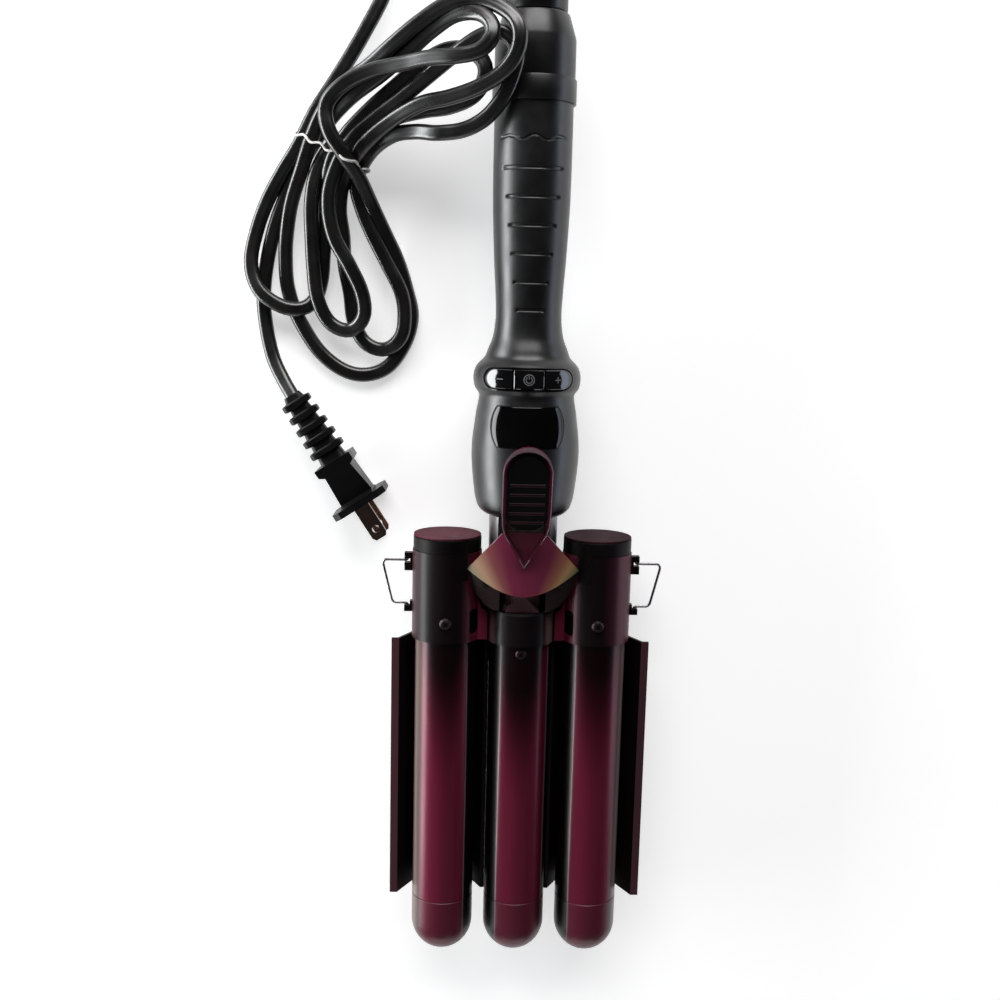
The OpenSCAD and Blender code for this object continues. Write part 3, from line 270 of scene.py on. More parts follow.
# a pale painted highlight for the narrow strip along the lever's rim
rimPaintedHighlight = finish("leverRimPaintedHighlight", (120, 75, 90), (170, 110, 130), (0.24, 0.32), 2200, 0.05)
ribFinish = finish("padRib", (10, 1.8, 3.5), (16, 2.8, 5), (0.34, 0.42), 1800, 0.06, specular=0.1)
padFinish = finish("thumbPad", (1.2, 0.8, 1), (2, 1.4, 1.6), (0.16, 0.24), 1800, 0.06, specular=0.15)
glossFinish = finish("blackGloss", (0.8, 0.8, 1), (1.6, 1.6, 1.8), (0.06, 0.10), 700, 0.015, specular=0.3)
keyFinish = finish("keyGloss", (1.2, 1.2, 1.5), (2.5, 2.5, 3), (0.07, 0.11), 900, 0.02, coat=0.6)
markFinish = finish("keyMark", (100, 100, 110), (150, 150, 160), (0.3, 0.36), 1500, 0.04)
plateFinish = finish("darkPlate", (3, 1.5, 2), (5, 2.2, 3), (0.34, 0.44), 1200, 0.05, specular=0.2,
                     stretch=brushed)
# on the wave plates' upward lips this plum is a painted sheen; the same finish goes on the yoke's gusset
lipFinish = finish("plumLip", (45, 17, 21), (65, 24, 30), (0.34, 0.42), 1200, 0.05, specular=0.3,
                   stretch=brushed)
# near black painted shade: behind the bracket slots, in the gaps beside the middle barrel and in the screws'
# recesses
paintedShadeFinish = finish("paintedShadeLiner", (1.5, 1, 1.2), (2.5, 1.8, 2), (0.5, 0.6), 1800, 0.1, specular=0.1)
steelFinish = finish("brightSteel", (420, 400, 420), (520, 500, 520), (0.18, 0.30), 1500, 0.05, metal=1.0)
screwFinish = finish("darkScrew", (130, 90, 100), (190, 140, 150), (0.24, 0.36), 1500, 0.08, metal=1.0)
brassFinish = finish("bladeBrass", (300, 200, 170), (380, 260, 220), (0.20, 0.32), 900, 0.06, metal=1.0)
cordFinish = finish("leadRubber", (2.2, 1.7, 1.5), (4, 3.1, 2.7), (0.26, 0.34), 1700, 0.08, specular=0.95)
plugFinish = finish("plugRubber", (2.2, 2, 2.1), (4, 3.4, 3.8), (0.32, 0.44), 2300, 0.2, specular=0.25)
tieFinish = finish("tiePlastic", (500, 480, 470), (680, 660, 650), (0.35, 0.5), 1400, 0.2)
boardFinish = finish("greenBoard", (10, 50, 18), (15, 70, 26), (0.35, 0.45), 1200, 0.15)
heaterFinish = finish("dullHeater", (300, 300, 290), (400, 400, 380), (0.4, 0.5), 800, 0.2, metal=0.8)
innerFinish = finish("paleInner", (200, 200, 200), (260, 260, 260), (0.45, 0.55), 1500, 0.15)
print("materials made")


# mesh helpers

def setFinish(item, material):
    item.data.materials.clear()
    item.data.materials.append(material)


def smooth(item, degrees=38):
    for face in item.data.polygons:
        face.use_smooth = True
    item.data.set_sharp_from_angle(angle=math.radians(degrees))


def addMesh(name, points, faces):
    mesh = bpy.data.meshes.new(name)
    mesh.from_pydata([(p[0] * milli, p[1] * milli, p[2] * milli) for p in points], [], faces)
    mesh.validate()
    bm = bmesh.new()
    bm.from_mesh(mesh)
    bmesh.ops.recalc_face_normals(bm, faces=bm.faces)
    bm.to_mesh(mesh)
    bm.free()
    return addItem(name, mesh)


def joinRings(rings, caps=(True, True)):
    points = [p for ring in rings for p in ring]
    count = len(rings[0])
    faces = []
    for i in range(len(rings) - 1):
        for k in range(count):
            a, b = i * count + k, i * count + (k + 1) % count
            faces.append((a, b, b + count, a + count))
    if caps[0]:
        faces.append(tuple(reversed(range(count))))
    if caps[1]:
        faces.append(tuple(range((len(rings) - 1) * count, len(rings) * count)))
    return points, faces


def addPiece(name, rings, body, material, degrees=38, caps=(True, True)):
    # every new piece is a skin over a row of rings, with or without an end cap on the first and last
    item = addMesh(name, *joinRings(rings, caps))
    setFinish(item, material)
    smooth(item, degrees)
    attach(item, body)
    return item


def circle(count):
    turns = [2 * math.pi * k / count for k in range(count)]
    return [(math.cos(a), math.sin(a)) for a in turns]


def latheRings(profile, x, segments=128, change=None):
    rings = []
    for radius, y in profile:
        ring = []
        for k in range(segments):
            a = 2 * math.pi * k / segments
            r = change(radius, y, a) if change else radius
            ring.append((x + r * math.sin(a), y, axisHeight + r * math.cos(a)))
        rings.append(ring)
    return rings


def addLathe(name, profile, body, material, x=0.0, segments=128, degrees=38, change=None):
    return addPiece(name, latheRings(profile, x, segments, change), body, material, degrees)


def ringsAlong(points, section, sizes=None):
    # a section that is carried along a path and stays level
    rings = []
    side = None
    for i, p in enumerate(points):
        ahead = (points[min(i + 1, len(points) - 1)] - points[max(i - 1, 0)]).normalized()
        wanted = ahead.cross(Vector((0, 0, 1)))
        wanted = wanted.normalized() if wanted.length > 0.05 else side
        side = wanted if side is None else (side * 0.6 + wanted * 0.4)
        side = (side - ahead * side.dot(ahead)).normalized()
        above = side.cross(ahead)
        size = sizes[i] if sizes else 1
        rings.append([tuple(p + side * u * size + above * v * size) for u, v in section])
    return rings


def joinCurve(a, fromA, b, intoB, t):
    # a smooth curve from a to b that leaves and arrives with the two slopes
    return (a * (1 + 2 * t) * (1 - t) ** 2 + fromA * t * (1 - t) ** 2 + b * t * t * (3 - 2 * t)
            + intoB * t * t * (t - 1))


def cutWith(item, cutter):
    modifier = item.modifiers.new("cut", "BOOLEAN")
    modifier.operation = "DIFFERENCE"
    modifier.solver = "EXACT"
    modifier.object = cutter
    graph = bpy.context.evaluated_depsgraph_get()
    mesh = bpy.data.meshes.new_from_object(item.evaluated_get(graph))
    item.modifiers.clear()
    old = item.data
    item.data = mesh
    bpy.data.meshes.remove(old)
    bpy.data.objects.remove(cutter)


edges = {
    "width": 0.00015,  # in metres
    "segments": 2,
    "angle": 40,
}


def addBevel(item):
    modifier = item.modifiers.new("edges", "BEVEL")
    modifier.width = edges["width"]
    modifier.segments = edges["segments"]
    modifier.limit_method = "ANGLE"
    modifier.angle_limit = math.radians(edges["angle"])
    modifier.harden_normals = False


# mains lead

cord = {
    "width": 5.8,
    "lobe": 1.95,  # radius of one of the two cores
    "apart": 0.95,  # of a core from the middle
    "step": 2.0,  # between rings along the lead
    "clear": 4.4,  # between two strands that lie on each other
    "rounds": 60,  # of pushing the strands apart
    "push": 0.35,  # part of an overlap that one round takes away
    "smooth": 0.6,  # how far a round evens out what was pushed
    "lowest": 2.2,  # of the lead's middle over the table
    "handle": [(203, 15.8), (230, 12.4), (266, 6)],  # radius that the lead rests on, up to each y
    "handleFrom": (-22, 183),  # lowest x and y of what may rest on the handle
    "onHandle": 2.0,
}

leadRoute = [
    (0, 269.3, axisHeight), (0, 277.3, axisHeight), (-2, 286.3, 20), (-7, 296.3, 17), (-17, 304.3, 12),
    (-30, 306.3, 8), (-42, 299.3, 5), (-49, 287.3, 3), (-52, 273.3, 2.4), (-53, 257.3, 2.4),
    (-53, 244, 2.6), (-54.5, 231, 3.4), (-58, 219.5, 4.4), (-63.5, 209, 4.4), (-70, 198, 4.2),
    (-77, 187, 4.2), (-84, 176, 5),
    # outer lower loop
    (-90, 164, 5), (-97, 153, 4), (-103, 142, 3), (-107, 131, 2), (-109, 119, 2), (-106, 109, 2),
    (-99, 103, 2), (-91, 101, 2), (-85, 104, 2), (-82, 112, 2), (-81, 122, 3), (-80, 135, 4),
    (-79, 147, 6),
    # inner upper loop
    (-76, 157, 10), (-70, 166, 12), (-61, 176, 14), (-51, 185, 17), (-41, 193, 21), (-32, 197, 25),
    (-23, 195.5, 29), (-18.5, 189, 31), (-22, 181, 29), (-31, 177, 25), (-41, 176, 21), (-52, 174, 17),
    (-64, 169, 12), (-77, 164, 8),
    # narrow lower loop
    (-83, 154, 8), (-85, 142, 8), (-85, 130, 6), (-84.5, 117, 4), (-83, 105, 3), (-78, 96, 3),
    (-70, 93.5, 5), (-64.5, 99, 8), (-65, 108, 10), (-69.5, 118, 12), (-76, 130, 12), (-78, 144, 12),
    # second upper loop
    (-75, 156, 12), (-70, 165, 12), (-62, 172, 14), (-50, 180, 19), (-40, 187, 24), (-30, 194, 29),
    (-20, 200, 34), (-12, 200.5, 38), (-7.5, 195, 39), (-8.5, 187, 38), (-12, 179, 36), (-18, 172, 33),
    (-26, 168, 30), (-36, 167, 27), (-44, 168, 22), (-53, 167, 18), (-62, 161, 13),
    # middle lower loop
    (-67, 151, 10), (-65, 141, 8), (-61, 131, 7), (-55, 119, 6), (-50, 109, 6), (-48.5, 100, 6),
    (-50, 91, 6), (-56.5, 86, 4), (-64.5, 88.5, 3), (-69, 97, 3), (-70.5, 108, 3), (-72.5, 119, 4),
    (-73, 130, 5), (-74, 140, 7), (-72, 151, 9),
    # widest upper loop
    (-65, 162, 15), (-54, 171, 20), (-42, 177, 27), (-31, 179, 32), (-21, 182, 36), (-12, 187, 40),
    (-7, 194, 43), (-7, 202, 43), (-12, 208, 40), (-21, 212, 36), (-32, 211, 33), (-43, 205, 29),
    (-54, 197, 24), (-62, 191, 19), (-70, 186, 15), (-78, 178, 10), (-84, 167, 7),
    # widest lower loop
    (-89, 154, 6), (-93, 143, 5), (-95, 133, 4), (-96, 122, 2.5), (-95, 109, 2), (-90, 96, 2),
    (-81, 83, 2), (-69, 76, 2), (-57, 78, 2), (-49, 88, 2), (-46, 99, 2), (-48, 109, 2), (-52, 121, 3),
    (-58, 133, 5), (-63, 143, 7), (-67, 152, 11),
    # uppermost loop
    (-72, 160, 16), (-77, 168, 18), (-78, 177, 18), (-72, 184, 20), (-61, 189, 23), (-48, 191, 29),
    (-38, 192, 35), (-28, 192, 40), (-20, 194, 42), (-16, 200, 42), (-20, 206.5, 38), (-29, 207.5, 33),
    (-38, 203, 28), (-46, 197, 24), (-57, 189, 19), (-70, 181, 13), (-80, 172, 8),
    # to the plug
    (-88, 160, 5), (-94, 148, 4), (-99, 136, 3), (-103, 122, 2), (-105, 107, 2), (-104, 94, 2.2),
    (-101, 82, 4), (-97, 74, 6.5), (-92, 66.4, 10.2),
]


def curveThrough(points, step):
    dense = []
    parts = 24
    p = [Vector(q) for q in points]
    for i in range(len(p) - 1):
        a, b, c, d = p[max(i - 1, 0)], p[i], p[i + 1], p[min(i + 2, len(p) - 1)]
        size = (c - b).length
        leave, arrive = (c - a).normalized() * size, (d - b).normalized() * size
        dense += [joinCurve(b, leave, c, arrive, k / parts) for k in range(parts)]
    dense.append(p[-1])
    reach = [0.0]
    for a, b in zip(dense, dense[1:]):
        reach.append(reach[-1] + (b - a).length)
    count = round(reach[-1] / step)
    spaced, j = [], 0
    for i in range(count + 1):
        wanted = reach[-1] * i / count
        while j < len(dense) - 2 and reach[j + 1] < wanted:
            j += 1
        span = max(reach[j + 1] - reach[j], 1e-9)
        spaced.append(dense[j].lerp(dense[j + 1], (wanted - reach[j]) / span))
    return spaced


def pushApart(points):
    # strands that cross are moved away from each other, mostly up and down
    tree = KDTree(len(points))
    for i, p in enumerate(points):
        tree.insert(p, i)
    tree.balance()
    shift = [Vector((0, 0, 0)) for p in points]
    for i, p in enumerate(points):
        for q, j, gap in tree.find_range(p, cord["clear"]):
            if j > i + 4:
                away = p - q
                away.z += 0.02 if p.z >= q.z else -0.02
                away = Vector((away.x * 0.5, away.y * 0.5, away.z)).normalized()
                push = away * (cord["clear"] - gap) * cord["push"]
                shift[i] += push
                shift[j] -= push
    return shift


def liftOut(p):
    # the lead stays over the table and outside the handle
    p.z = max(p.z, cord["lowest"])
    radius = next((r for end, r in cord["handle"] if p.y < end), 0)
    fromX, fromY = cord["handleFrom"]
    if p.x > fromX and p.y > fromY and radius:
        across = math.hypot(p.x, p.z - axisHeight)
        need = radius + cord["onHandle"]
        if across < need:
            p.x *= need / across
            p.z = axisHeight + (p.z - axisHeight) * need / across


def settle(route):
    # both ends of the lead stay where they are
    n = len(route)
    points = list(route)
    loose = range(4, n - 4)
    for turn in range(cord["rounds"]):
        shift = pushApart(points)
        for i in loose:
            points[i] = points[i] + shift[i]
        for again in range(3 if turn < cord["rounds"] - 2 else 1):
            move = [points[i] - route[i] for i in range(n)]
            for i in loose:
                points[i] = route[i] + move[i].lerp((move[i - 1] + move[i + 1]) / 2, cord["smooth"])
        for i in loose:
            liftOut(points[i])
    return points


def twinSection():
    # outline of two round cores side by side
    section = []
    for x, y in circle(18):
        reach = 0.0
        for core in (-1, 1):
            cx = core * cord["apart"]
            b = x * cx
            under = b * b - cx * cx + cord["lobe"] ** 2
            if under >= 0:
                reach = max(reach, b + math.sqrt(under))
        section.append((x * reach, y * reach))
    return section


leadPoints = settle(curveThrough(leadRoute, cord["step"]))
leadRings = ringsAlong(leadPoints, twinSection())
mainsLead = addPiece("mainsLead", leadRings, "handle", cordFinish, 80)
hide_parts("cord_lead", "cord_hank_lower", "cord_hank_upper", "cord_tail")


# handle

grip = {
    "stations": [
        (23.8, 14.7), (25, 16.59), (27, 18.27), (32.8, 19.7), (49, 21), (63, 19.6), (69.6, 18.5),
        (71.2, 18.7), (73.4, 20.2), (77.6, 20.8), (80.8, 20.1), (82.6, 18.9), (85, 16.6), (88.2, 15.3),
        (92.8, 13.6), (99.6, 12.7), (107.6, 12.85), (122.6, 13.8), (145.6, 14.7), (178.7, 14.8),
    ],
    "neckHole": 13.55,
    "tail": [
        (15.1, 187.4), (15.1, 201.2), (14.9, 202.4), (12.6, 209.9), (12.2, 210.5), (6, 210.5), (5.2, 209),
    ],
    "band": (178.7, 187.4),  # from and to
    "bandRadius": (15.1, 15.75),  # inside and outside
    "grooves": [(103 + 10.35 * i, 11 + 2.4 * i) for i in range(6)],  # place and width of each
    "wavy": (165.45, 25),
    "waves": 2.5,
    "waveHeight": 0.9,
    "grooveDepth": 0.6,
    "grooveHalf": 0.8,  # half the width of a groove's own cut
    "wavyHalf": 0.7,
    "grooveEnd": 1.2,  # over which a groove runs out
    "seamDepth": 0.22,  # of the line between the two shells
    "screws": (92, 130, 168),
    "screwHole": (2.9, 3.2),  # radius and depth
    "rows": 0.5,  # between rings along the grip
}


def gripRadius(y):
    s = grip["stations"]
    if y >= s[-1][0]:
        return s[-1][1]
    i = max(k for k in range(len(s) - 1) if s[k][0] <= y or k == 0)

    def slope(k):
        a, b = s[max(k - 1, 0)], s[min(k + 1, len(s) - 1)]
        return (b[1] - a[1]) / (b[0] - a[0])

    a, b = s[i], s[i + 1]
    span = b[0] - a[0]
    return joinCurve(a[1], slope(i) * span, b[1], slope(i + 1) * span, (y - a[0]) / span)


def groove(x, width, away, half):
    # depth of a groove at a point, with a round bottom and ends that run out
    left = width / 2 - abs(x)
    if left <= 0 or abs(away) >= half:
        return 0
    return grip["grooveDepth"] * (1 - (away / half) ** 2) ** 0.5 * min(1, left / grip["grooveEnd"])


def gripSurface(radius, y, a):
    # the grooves are in front, where cos(a) is positive, and the seam runs along both sides
    x = radius * math.sin(a)
    r = radius
    if math.cos(a) > 0 and y > 95:
        for at, width in grip["grooves"]:
            r -= groove(x, width, y - at, grip["grooveHalf"])
        at, width = grip["wavy"]
        t = x / width + 0.5
        wave = grip["waveHeight"] * math.sin(2 * math.pi * grip["waves"] * t) * (1 - abs(2 * t - 1) ** 4)
        r -= groove(x, width, y - at - wave, grip["wavyHalf"])
    if abs(math.cos(a)) < 0.006 and y > 26:
        r -= grip["seamDepth"]
    return r


def addGrip():
    # rings lie closer where the grooves are
    start, hole, step = grip["stations"][0][0], grip["neckHole"], grip["rows"]
    ys = [start + step * i for i in range(int((187 - start) / step) + 1)]
    for at, width in grip["grooves"]:
        ys = [y for y in ys if abs(y - at) > 1.0] + [at - 0.9 + 0.15 * k for k in range(13)]
    at = grip["wavy"][0]
    ys = [y for y in ys if abs(y - at) > 1.8] + [at - 1.7 + 0.1 * k for k in range(35)]
    profile = [(10.5, 28.5), (hole, 28), (hole, 24.2), (gripRadius(start) - 0.3, start)]
    profile += [(gripRadius(y), y) for y in sorted(ys) if y > start + 0.1] + grip["tail"]
    return addLathe("gripBody", profile, "handle", gripFinish, 0, 240, 40, gripSurface)


def twoArcs(offset, radius, reach, count, at):
    # a loop with an arc at its right and its left end, round a place along the handle
    loop = []
    for side in (1, -1):
        for k in range(count + 1):
            a = -reach + 2 * reach * k / count
            loop.append((side * (offset + radius * math.cos(a)), at + side * radius * math.sin(a)))
    return loop


def keyStrip(grow):
    # outline of the three keys together, with half of grow on every side
    width, height = keys["width"] + grow, keys["height"] + grow
    return twoArcs((width - height) / 2, height / 2, math.pi / 2, 14, keys["at"])


def addCutter(name, prisms):
    points, faces = [], []
    for rings in prisms:
        start = len(points)
        more, sides = joinRings(rings)
        points += more
        faces += [tuple(start + k for k in side) for side in sides]
    return addMesh(name, points, faces)


keys = {
    "at": 77.6,
    "width": 32.8,
    "height": 7.4,
    "rim": 0.8,
    "play": 0.3,
    "rimProud": 0.3,
    "proud": 0.45,
    "power": 5.9,  # half width of the middle key
    "gap": 0.3,
    "seat": 3.0,  # depth of the bezel's floor, clear of a pressed key
    "stroke": 0.34,  # width of a printed line
}

gripBody = addGrip()
cutters = [[[(x, y, axisHeight + rise) for x, y in keyStrip(1.2)] for rise in (8, 30)]]
holeRadius, holeDepth = grip["screwHole"]
for at in grip["screws"]:
    hole = [(holeRadius * c, at + holeRadius * s) for c, s in circle(32)]
    floor = axisHeight - gripRadius(at) + holeDepth
    cutters.append([[(x, y, z) for x, y in hole] for z in (-5, floor)])
cutWith(gripBody, addCutter("gripCutters", cutters))
smooth(gripBody, 40)
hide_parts("grip_shell_front", "grip_shell_rear")


def bandProfile():
    (start, end), (inside, r) = grip["band"], grip["bandRadius"]
    return [(inside, start + 0.2), (r - 0.15, start), (r, start + 0.2), (r, end - 0.3), (r - 0.15, end),
            (inside, end - 0.1)]


tailBand = addLathe("tailBand", bandProfile(), "handle", gripFinish, segments=160)
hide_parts("tail_band")

swivel = {
    "cap": [
        (5, 209), (5.2, 211.5), (11.2, 211.3), (11.65, 211.9), (11.65, 226.2), (11.3, 227.4), (10.4, 228.5),
        (8.7, 229.3), (6.5, 229.3),
    ],
    "ribs": 10,  # of the strain relief
    "firstRib": 229.9,
    "pitch": 4,
    "ribWidth": 2.4,
    "radius": 6.1,
    "taper": 2.4,  # over all the ribs
    "ribHeight": 1.3,
    "end": [(3.6, 269.0), (3.3, 269.3), (2.5, 269.3)],
}
swivelCap = addLathe("swivelCap", swivel["cap"], "swivel", gripFinish)
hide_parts("swivel_cap")


def reliefProfile():
    profile = [(5.9, 228.8)]
    wide = swivel["ribWidth"]
    for i in range(swivel["ribs"]):
        y = swivel["firstRib"] + swivel["pitch"] * i
        r = swivel["radius"] - swivel["taper"] * i / (swivel["ribs"] - 1)
        core = r - swivel["ribHeight"] + 0.05 * i
        profile += [(core, y - 0.1), (r - 0.35, y), (r, y + 0.35), (r, y + wide - 0.35), (r - 0.35, y + wide),
                    (core, y + wide + 0.1)]
    return profile + swivel["end"]


strainRelief = addLathe("strainRelief", reliefProfile(), "swivel", plugFinish, segments=64)
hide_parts("strain_relief")
print("handle made")


def skinHeight(x, y, lift):
    r = gripRadius(y) + lift
    return axisHeight + math.sqrt(max(r * r - x * x, 0.01))


def sideways(a, b):
    # a step of 1 to the left of the way from a to b
    x, y = b[0] - a[0], b[1] - a[1]
    size = math.hypot(x, y) or 1
    return -y / size, x / size


def inset(loop, distance):
    moved = []
    for k, (x, y) in enumerate(loop):
        u, v = sideways(loop[k - 1], loop[(k + 1) % len(loop)])
        moved.append((x + u * distance, y + v * distance))
    return moved


def layers(loop, steps, height):
    # copies of a loop, each moved in by some distance and lifted over a surface
    return [[(x, y, height(x, y, lift)) for x, y in inset(loop, distance)] for distance, lift in steps]


def addSkinPatch(name, loop, lift, depth, edgeRound, material, middle, body="handle", shrink=8, dish=0.0,
                 height=skinHeight):
    # a thin plate that follows a surface, the handle's skin if no other is named, with a rounded edge
    steps = [(0, -depth), (0, lift - edgeRound), (edgeRound * 0.3, lift - edgeRound * 0.35),
             (edgeRound, lift)]
    rings = layers(loop, steps, height)
    inner = inset(loop, edgeRound)
    for k in range(1, shrink):
        t = 1 - k / shrink
        drop = dish * min(1, k / 1.5)
        ring = [(middle[0] + (x - middle[0]) * t, middle[1] + (y - middle[1]) * t) for x, y in inner]
        rings.append([(x, y, height(x, y, lift - drop)) for x, y in ring])
    return addPiece(name, rings, body, material, 30)


def cleanLoop(loop):
    kept = []
    for p in loop:
        if not kept or math.hypot(p[0] - kept[-1][0], p[1] - kept[-1][1]) > 0.02:
            kept.append(p)
    if math.hypot(kept[0][0] - kept[-1][0], kept[0][1] - kept[-1][1]) < 0.02:
        kept.pop()
    return kept


def denseLoop(loop, step):
    dense = []
    for k in range(len(loop)):
        (ax, ay), (bx, by) = loop[k], loop[(k + 1) % len(loop)]
        parts = max(1, round(math.hypot(bx - ax, by - ay) / step))
        dense += [(ax + (bx - ax) * i / parts, ay + (by - ay) * i / parts) for i in range(parts)]
    return dense


def clipLoop(loop, low, high):
    # the part of a convex loop between two values of x
    for limit, sign in ((low, 1), (high, -1)):
        clipped = []
        for k in range(len(loop)):
            p, q = loop[k], loop[(k + 1) % len(loop)]
            inP, inQ = sign * (p[0] - limit) >= 0, sign * (q[0] - limit) >= 0
            if inP:
                clipped.append(p)
            if inP != inQ:
                t = (limit - p[0]) / (q[0] - p[0])
                clipped.append((limit, p[1] + (q[1] - p[1]) * t))
        loop = clipped
    return cleanLoop(loop)


def addBezel():
    outer = denseLoop(cleanLoop(keyStrip(2 * keys["rim"])), 0.8)
    rim, top = keys["rim"] - keys["play"], keys["rimProud"]
    steps = [(0, -0.6), (0, top - 0.15), (0.12, top), (rim - 0.12, top), (rim, top - 0.15),
             (rim, -keys["seat"])]
    rings = layers(outer, steps, skinHeight)
    item = addPiece("keyBezel", rings, "handle", glossFinish, 30, (False, True))
    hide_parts("key_bezel")


def addKey(name, node, body, low, high, mark):
    loop = denseLoop(clipLoop(keyStrip(0), low, high), 0.8)
    centre = (max(min((low + high) / 2, 11), -11), keys["at"])
    item = addSkinPatch(name, loop, keys["proud"], 1.5, 0.35, keyFinish, centre, body, dish=0.12)
    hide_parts(node)
    for i, stroke in enumerate(mark):
        addStroke(name + "Mark" + str(i), stroke, body)


def addStroke(name, stroke, body):
    # a thin printed line on a key
    half = keys["stroke"] / 2
    rings = []
    for k, (x, y) in enumerate(stroke):
        across, along = sideways(stroke[max(k - 1, 0)], stroke[min(k + 1, len(stroke) - 1)])
        ring = []
        for side, lift in ((-half, 0.25), (-half, 0.36), (half, 0.36), (half, 0.25)):
            u, v = x + side * across, keys["at"] + y + side * along
            ring.append((u, v, skinHeight(u, v, lift)))
        rings.append(ring)
    addPiece(name, rings, body, markFinish, 30)


def straight(x0, y0, x1, y1, count=6):
    return [(x0 + (x1 - x0) * k / count, y0 + (y1 - y0) * k / count) for k in range(count + 1)]


def arc(radius, start, end, count=24):
    angles = [math.radians(start + (end - start) * k / count) for k in range(count + 1)]
    return [(radius * math.cos(a), radius * math.sin(a)) for a in angles]


addBezel()
edge = keys["power"]
gap = keys["gap"] / 2
addKey("keyPower", "key_power", "power_button", -edge + gap, edge - gap,
       [arc(1.15, 125, 415), straight(0, 0.25, 0, 1.5), arc(1.95, 0, 360, 36)])
addKey("keyMinus", "key_minus", "minus_button", -30, -edge - gap, [straight(-12, 0, -9.8, 0)])
addKey("keyPlus", "key_plus", "plus_button", edge + gap, 30,
       [straight(9.8, 0, 12, 0), straight(10.9, -1.1, 10.9, 1.1)])

display = {
    "at": 59.6,
    "width": 27.5,
    "height": 15.3,
    "proud": 0.3,
}


def displayLoop(grow=0.0):
    radius = display["width"] / 2 + grow
    half = display["height"] / 2 + grow
    return denseLoop(twoArcs(0, radius, math.asin(half / radius), 16, display["at"]), 1.0)


middle = (0, display["at"])
addSkinPatch("displayRim", displayLoop(0.35), 0.08, 0.8, 0.08, bandFinish, middle, shrink=3)
displayGlass = addSkinPatch("displayGlass", displayLoop(), display["proud"], 1.0, 0.25, glossFinish, middle)
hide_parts("display_window")
print("display and keys made")


# barrels

barrels = {
    "seam": -136.4,
    "round": -148.4,  # where the tip starts to round off
    "inside": 10.8,
    "bands": 12,  # of faces along a barrel
    "tops": {"left": -3.2, "middle": -15.9, "right": -3.2},
}


def addBarrel(side, x, body):
    top, seam, count = barrels["tops"][side], barrels["seam"], barrels["bands"]
    inside, r, start = barrels["inside"], barrelRadius, barrels["round"]
    profile = [(inside, top), (r - 0.15, top), (r, top - 0.15)]
    profile += [(r, top - 0.15 + (seam + 0.3 - top) * k / count) for k in range(1, count)]
    profile += [(r, seam + 0.15), (r - 0.15, seam), (inside, seam)]
    item = addLathe(side + "Barrel", profile, body, barrelFinish[side], x)
    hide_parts(side + "_barrel")
    cap = [(11, seam - 0.15), (r - 0.2, seam - 0.2), (r, seam - 0.4), (r, start + 4), (r, start)]
    angles = [math.radians(a) for a in range(3, 90, 3)]
    cap += [(r * math.cos(a), start - r * math.sin(a)) for a in angles]
    cap.append((0.12, start - r))
    tip = addLathe(side + "Tip", cap, body, tipFinish[side], x)
    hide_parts(side + "_tip_cap")


addBarrel("left", -barrelPitch, "jaw")
addBarrel("middle", 0, "handle")
addBarrel("right", barrelPitch, "jaw")
print("barrels made")


# jaw

jaw = {
    "discRadius": 13.35,
    "discAt": 15.0,
    "discWall": 0.22,
    # from and to along the barrel of the painted shade ring behind the bracket slots
    "linerAt": (-4.0, -26.4),
    "beadAt": -12.84,  # middle of the rolled edge beside the middle barrel
    "beadDrop": 0.2,  # of that edge under the barrel's axis
    "beadRadius": 0.33,
}


def addDisc(side, x):
    r, y, wall = jaw["discRadius"], jaw["discAt"], jaw["discWall"]
    profile = [(0.1, y - 0.3), (r, y - 0.3), (r, y + wall - 0.12), (r - 0.12, y + wall), (0.1, y + wall)]
    # each disc takes its side's painted lit or shaded copy
    addLathe(side + "Disc", profile, "jaw", discPaintedLight[side], x)
    # a near-black ring just round each outer barrel under its bracket's slots, painted shade
    near, far = jaw["linerAt"]
    inside, outside = barrelRadius + 0.02, barrelRadius + 0.05
    liner = latheRings([(inside, near), (outside, near), (outside, far), (inside, far)], x)
    addPiece(side + "Liner", liner, "jaw", paintedShadeFinish, caps=(False, False))


def addBead(side, x):
    # the rolled edge of a wave plate, a rod with rounded-off ends, near black to paint shade into the gap
    # beside the middle barrel
    r, z = jaw["beadRadius"], axisHeight - jaw["beadDrop"]
    plate = [v.co.y / milli for v in nodes[side + "_wave_plate"].data.vertices]
    low, high = min(plate) + 0.3, max(plate) - 0.3
    path = [Vector((x, y, z)) for y in (low, low + r / 2, high - r / 2, high)]
    rings = ringsAlong(path, circle(12), (0.6 * r, r, r, 0.6 * r))
    addPiece(side + "PlateBead", rings, "jaw", paintedShadeFinish)


for side, sign in (("left", 1), ("right", -1)):
    addDisc(side, -sign * barrelPitch)
    addBead(side, sign * jaw["beadAt"])

lever = {
    "root": 5.4,  # the lever's curve passes through three places
    "rootRise": 19.2,
    "middle": 30.0,
    "middleRise": 30.78,
    "end": 54.7,
    "endRise": 38.5,
    "width": 18.5,
    "flank": [(0.88, 20), (0.97, 23.5), (1, 28), (1, 36)],  # parts of the half width on the way up
    "endRadius": 10.5,
    "rimTop": 0.12,
    "padDrop": 0.58,
    "padHalf": 7.7,
    "padLow": 20.7,
    "padHigh": 52.3,
    "padRound": (7, 9),  # of its lower and upper end
}


def leverHeight(x, y, lift):
    # the lever is level from side to side
    a, b, c = lever["root"], lever["middle"], lever["end"]
    rise = (lever["rootRise"] * (y - b) * (y - c) / ((a - b) * (a - c))
            + lever["middleRise"] * (y - a) * (y - c) / ((b - a) * (b - c))
            + lever["endRise"] * (y - a) * (y - b) / ((c - a) * (c - b)))
    return axisHeight + rise + lift


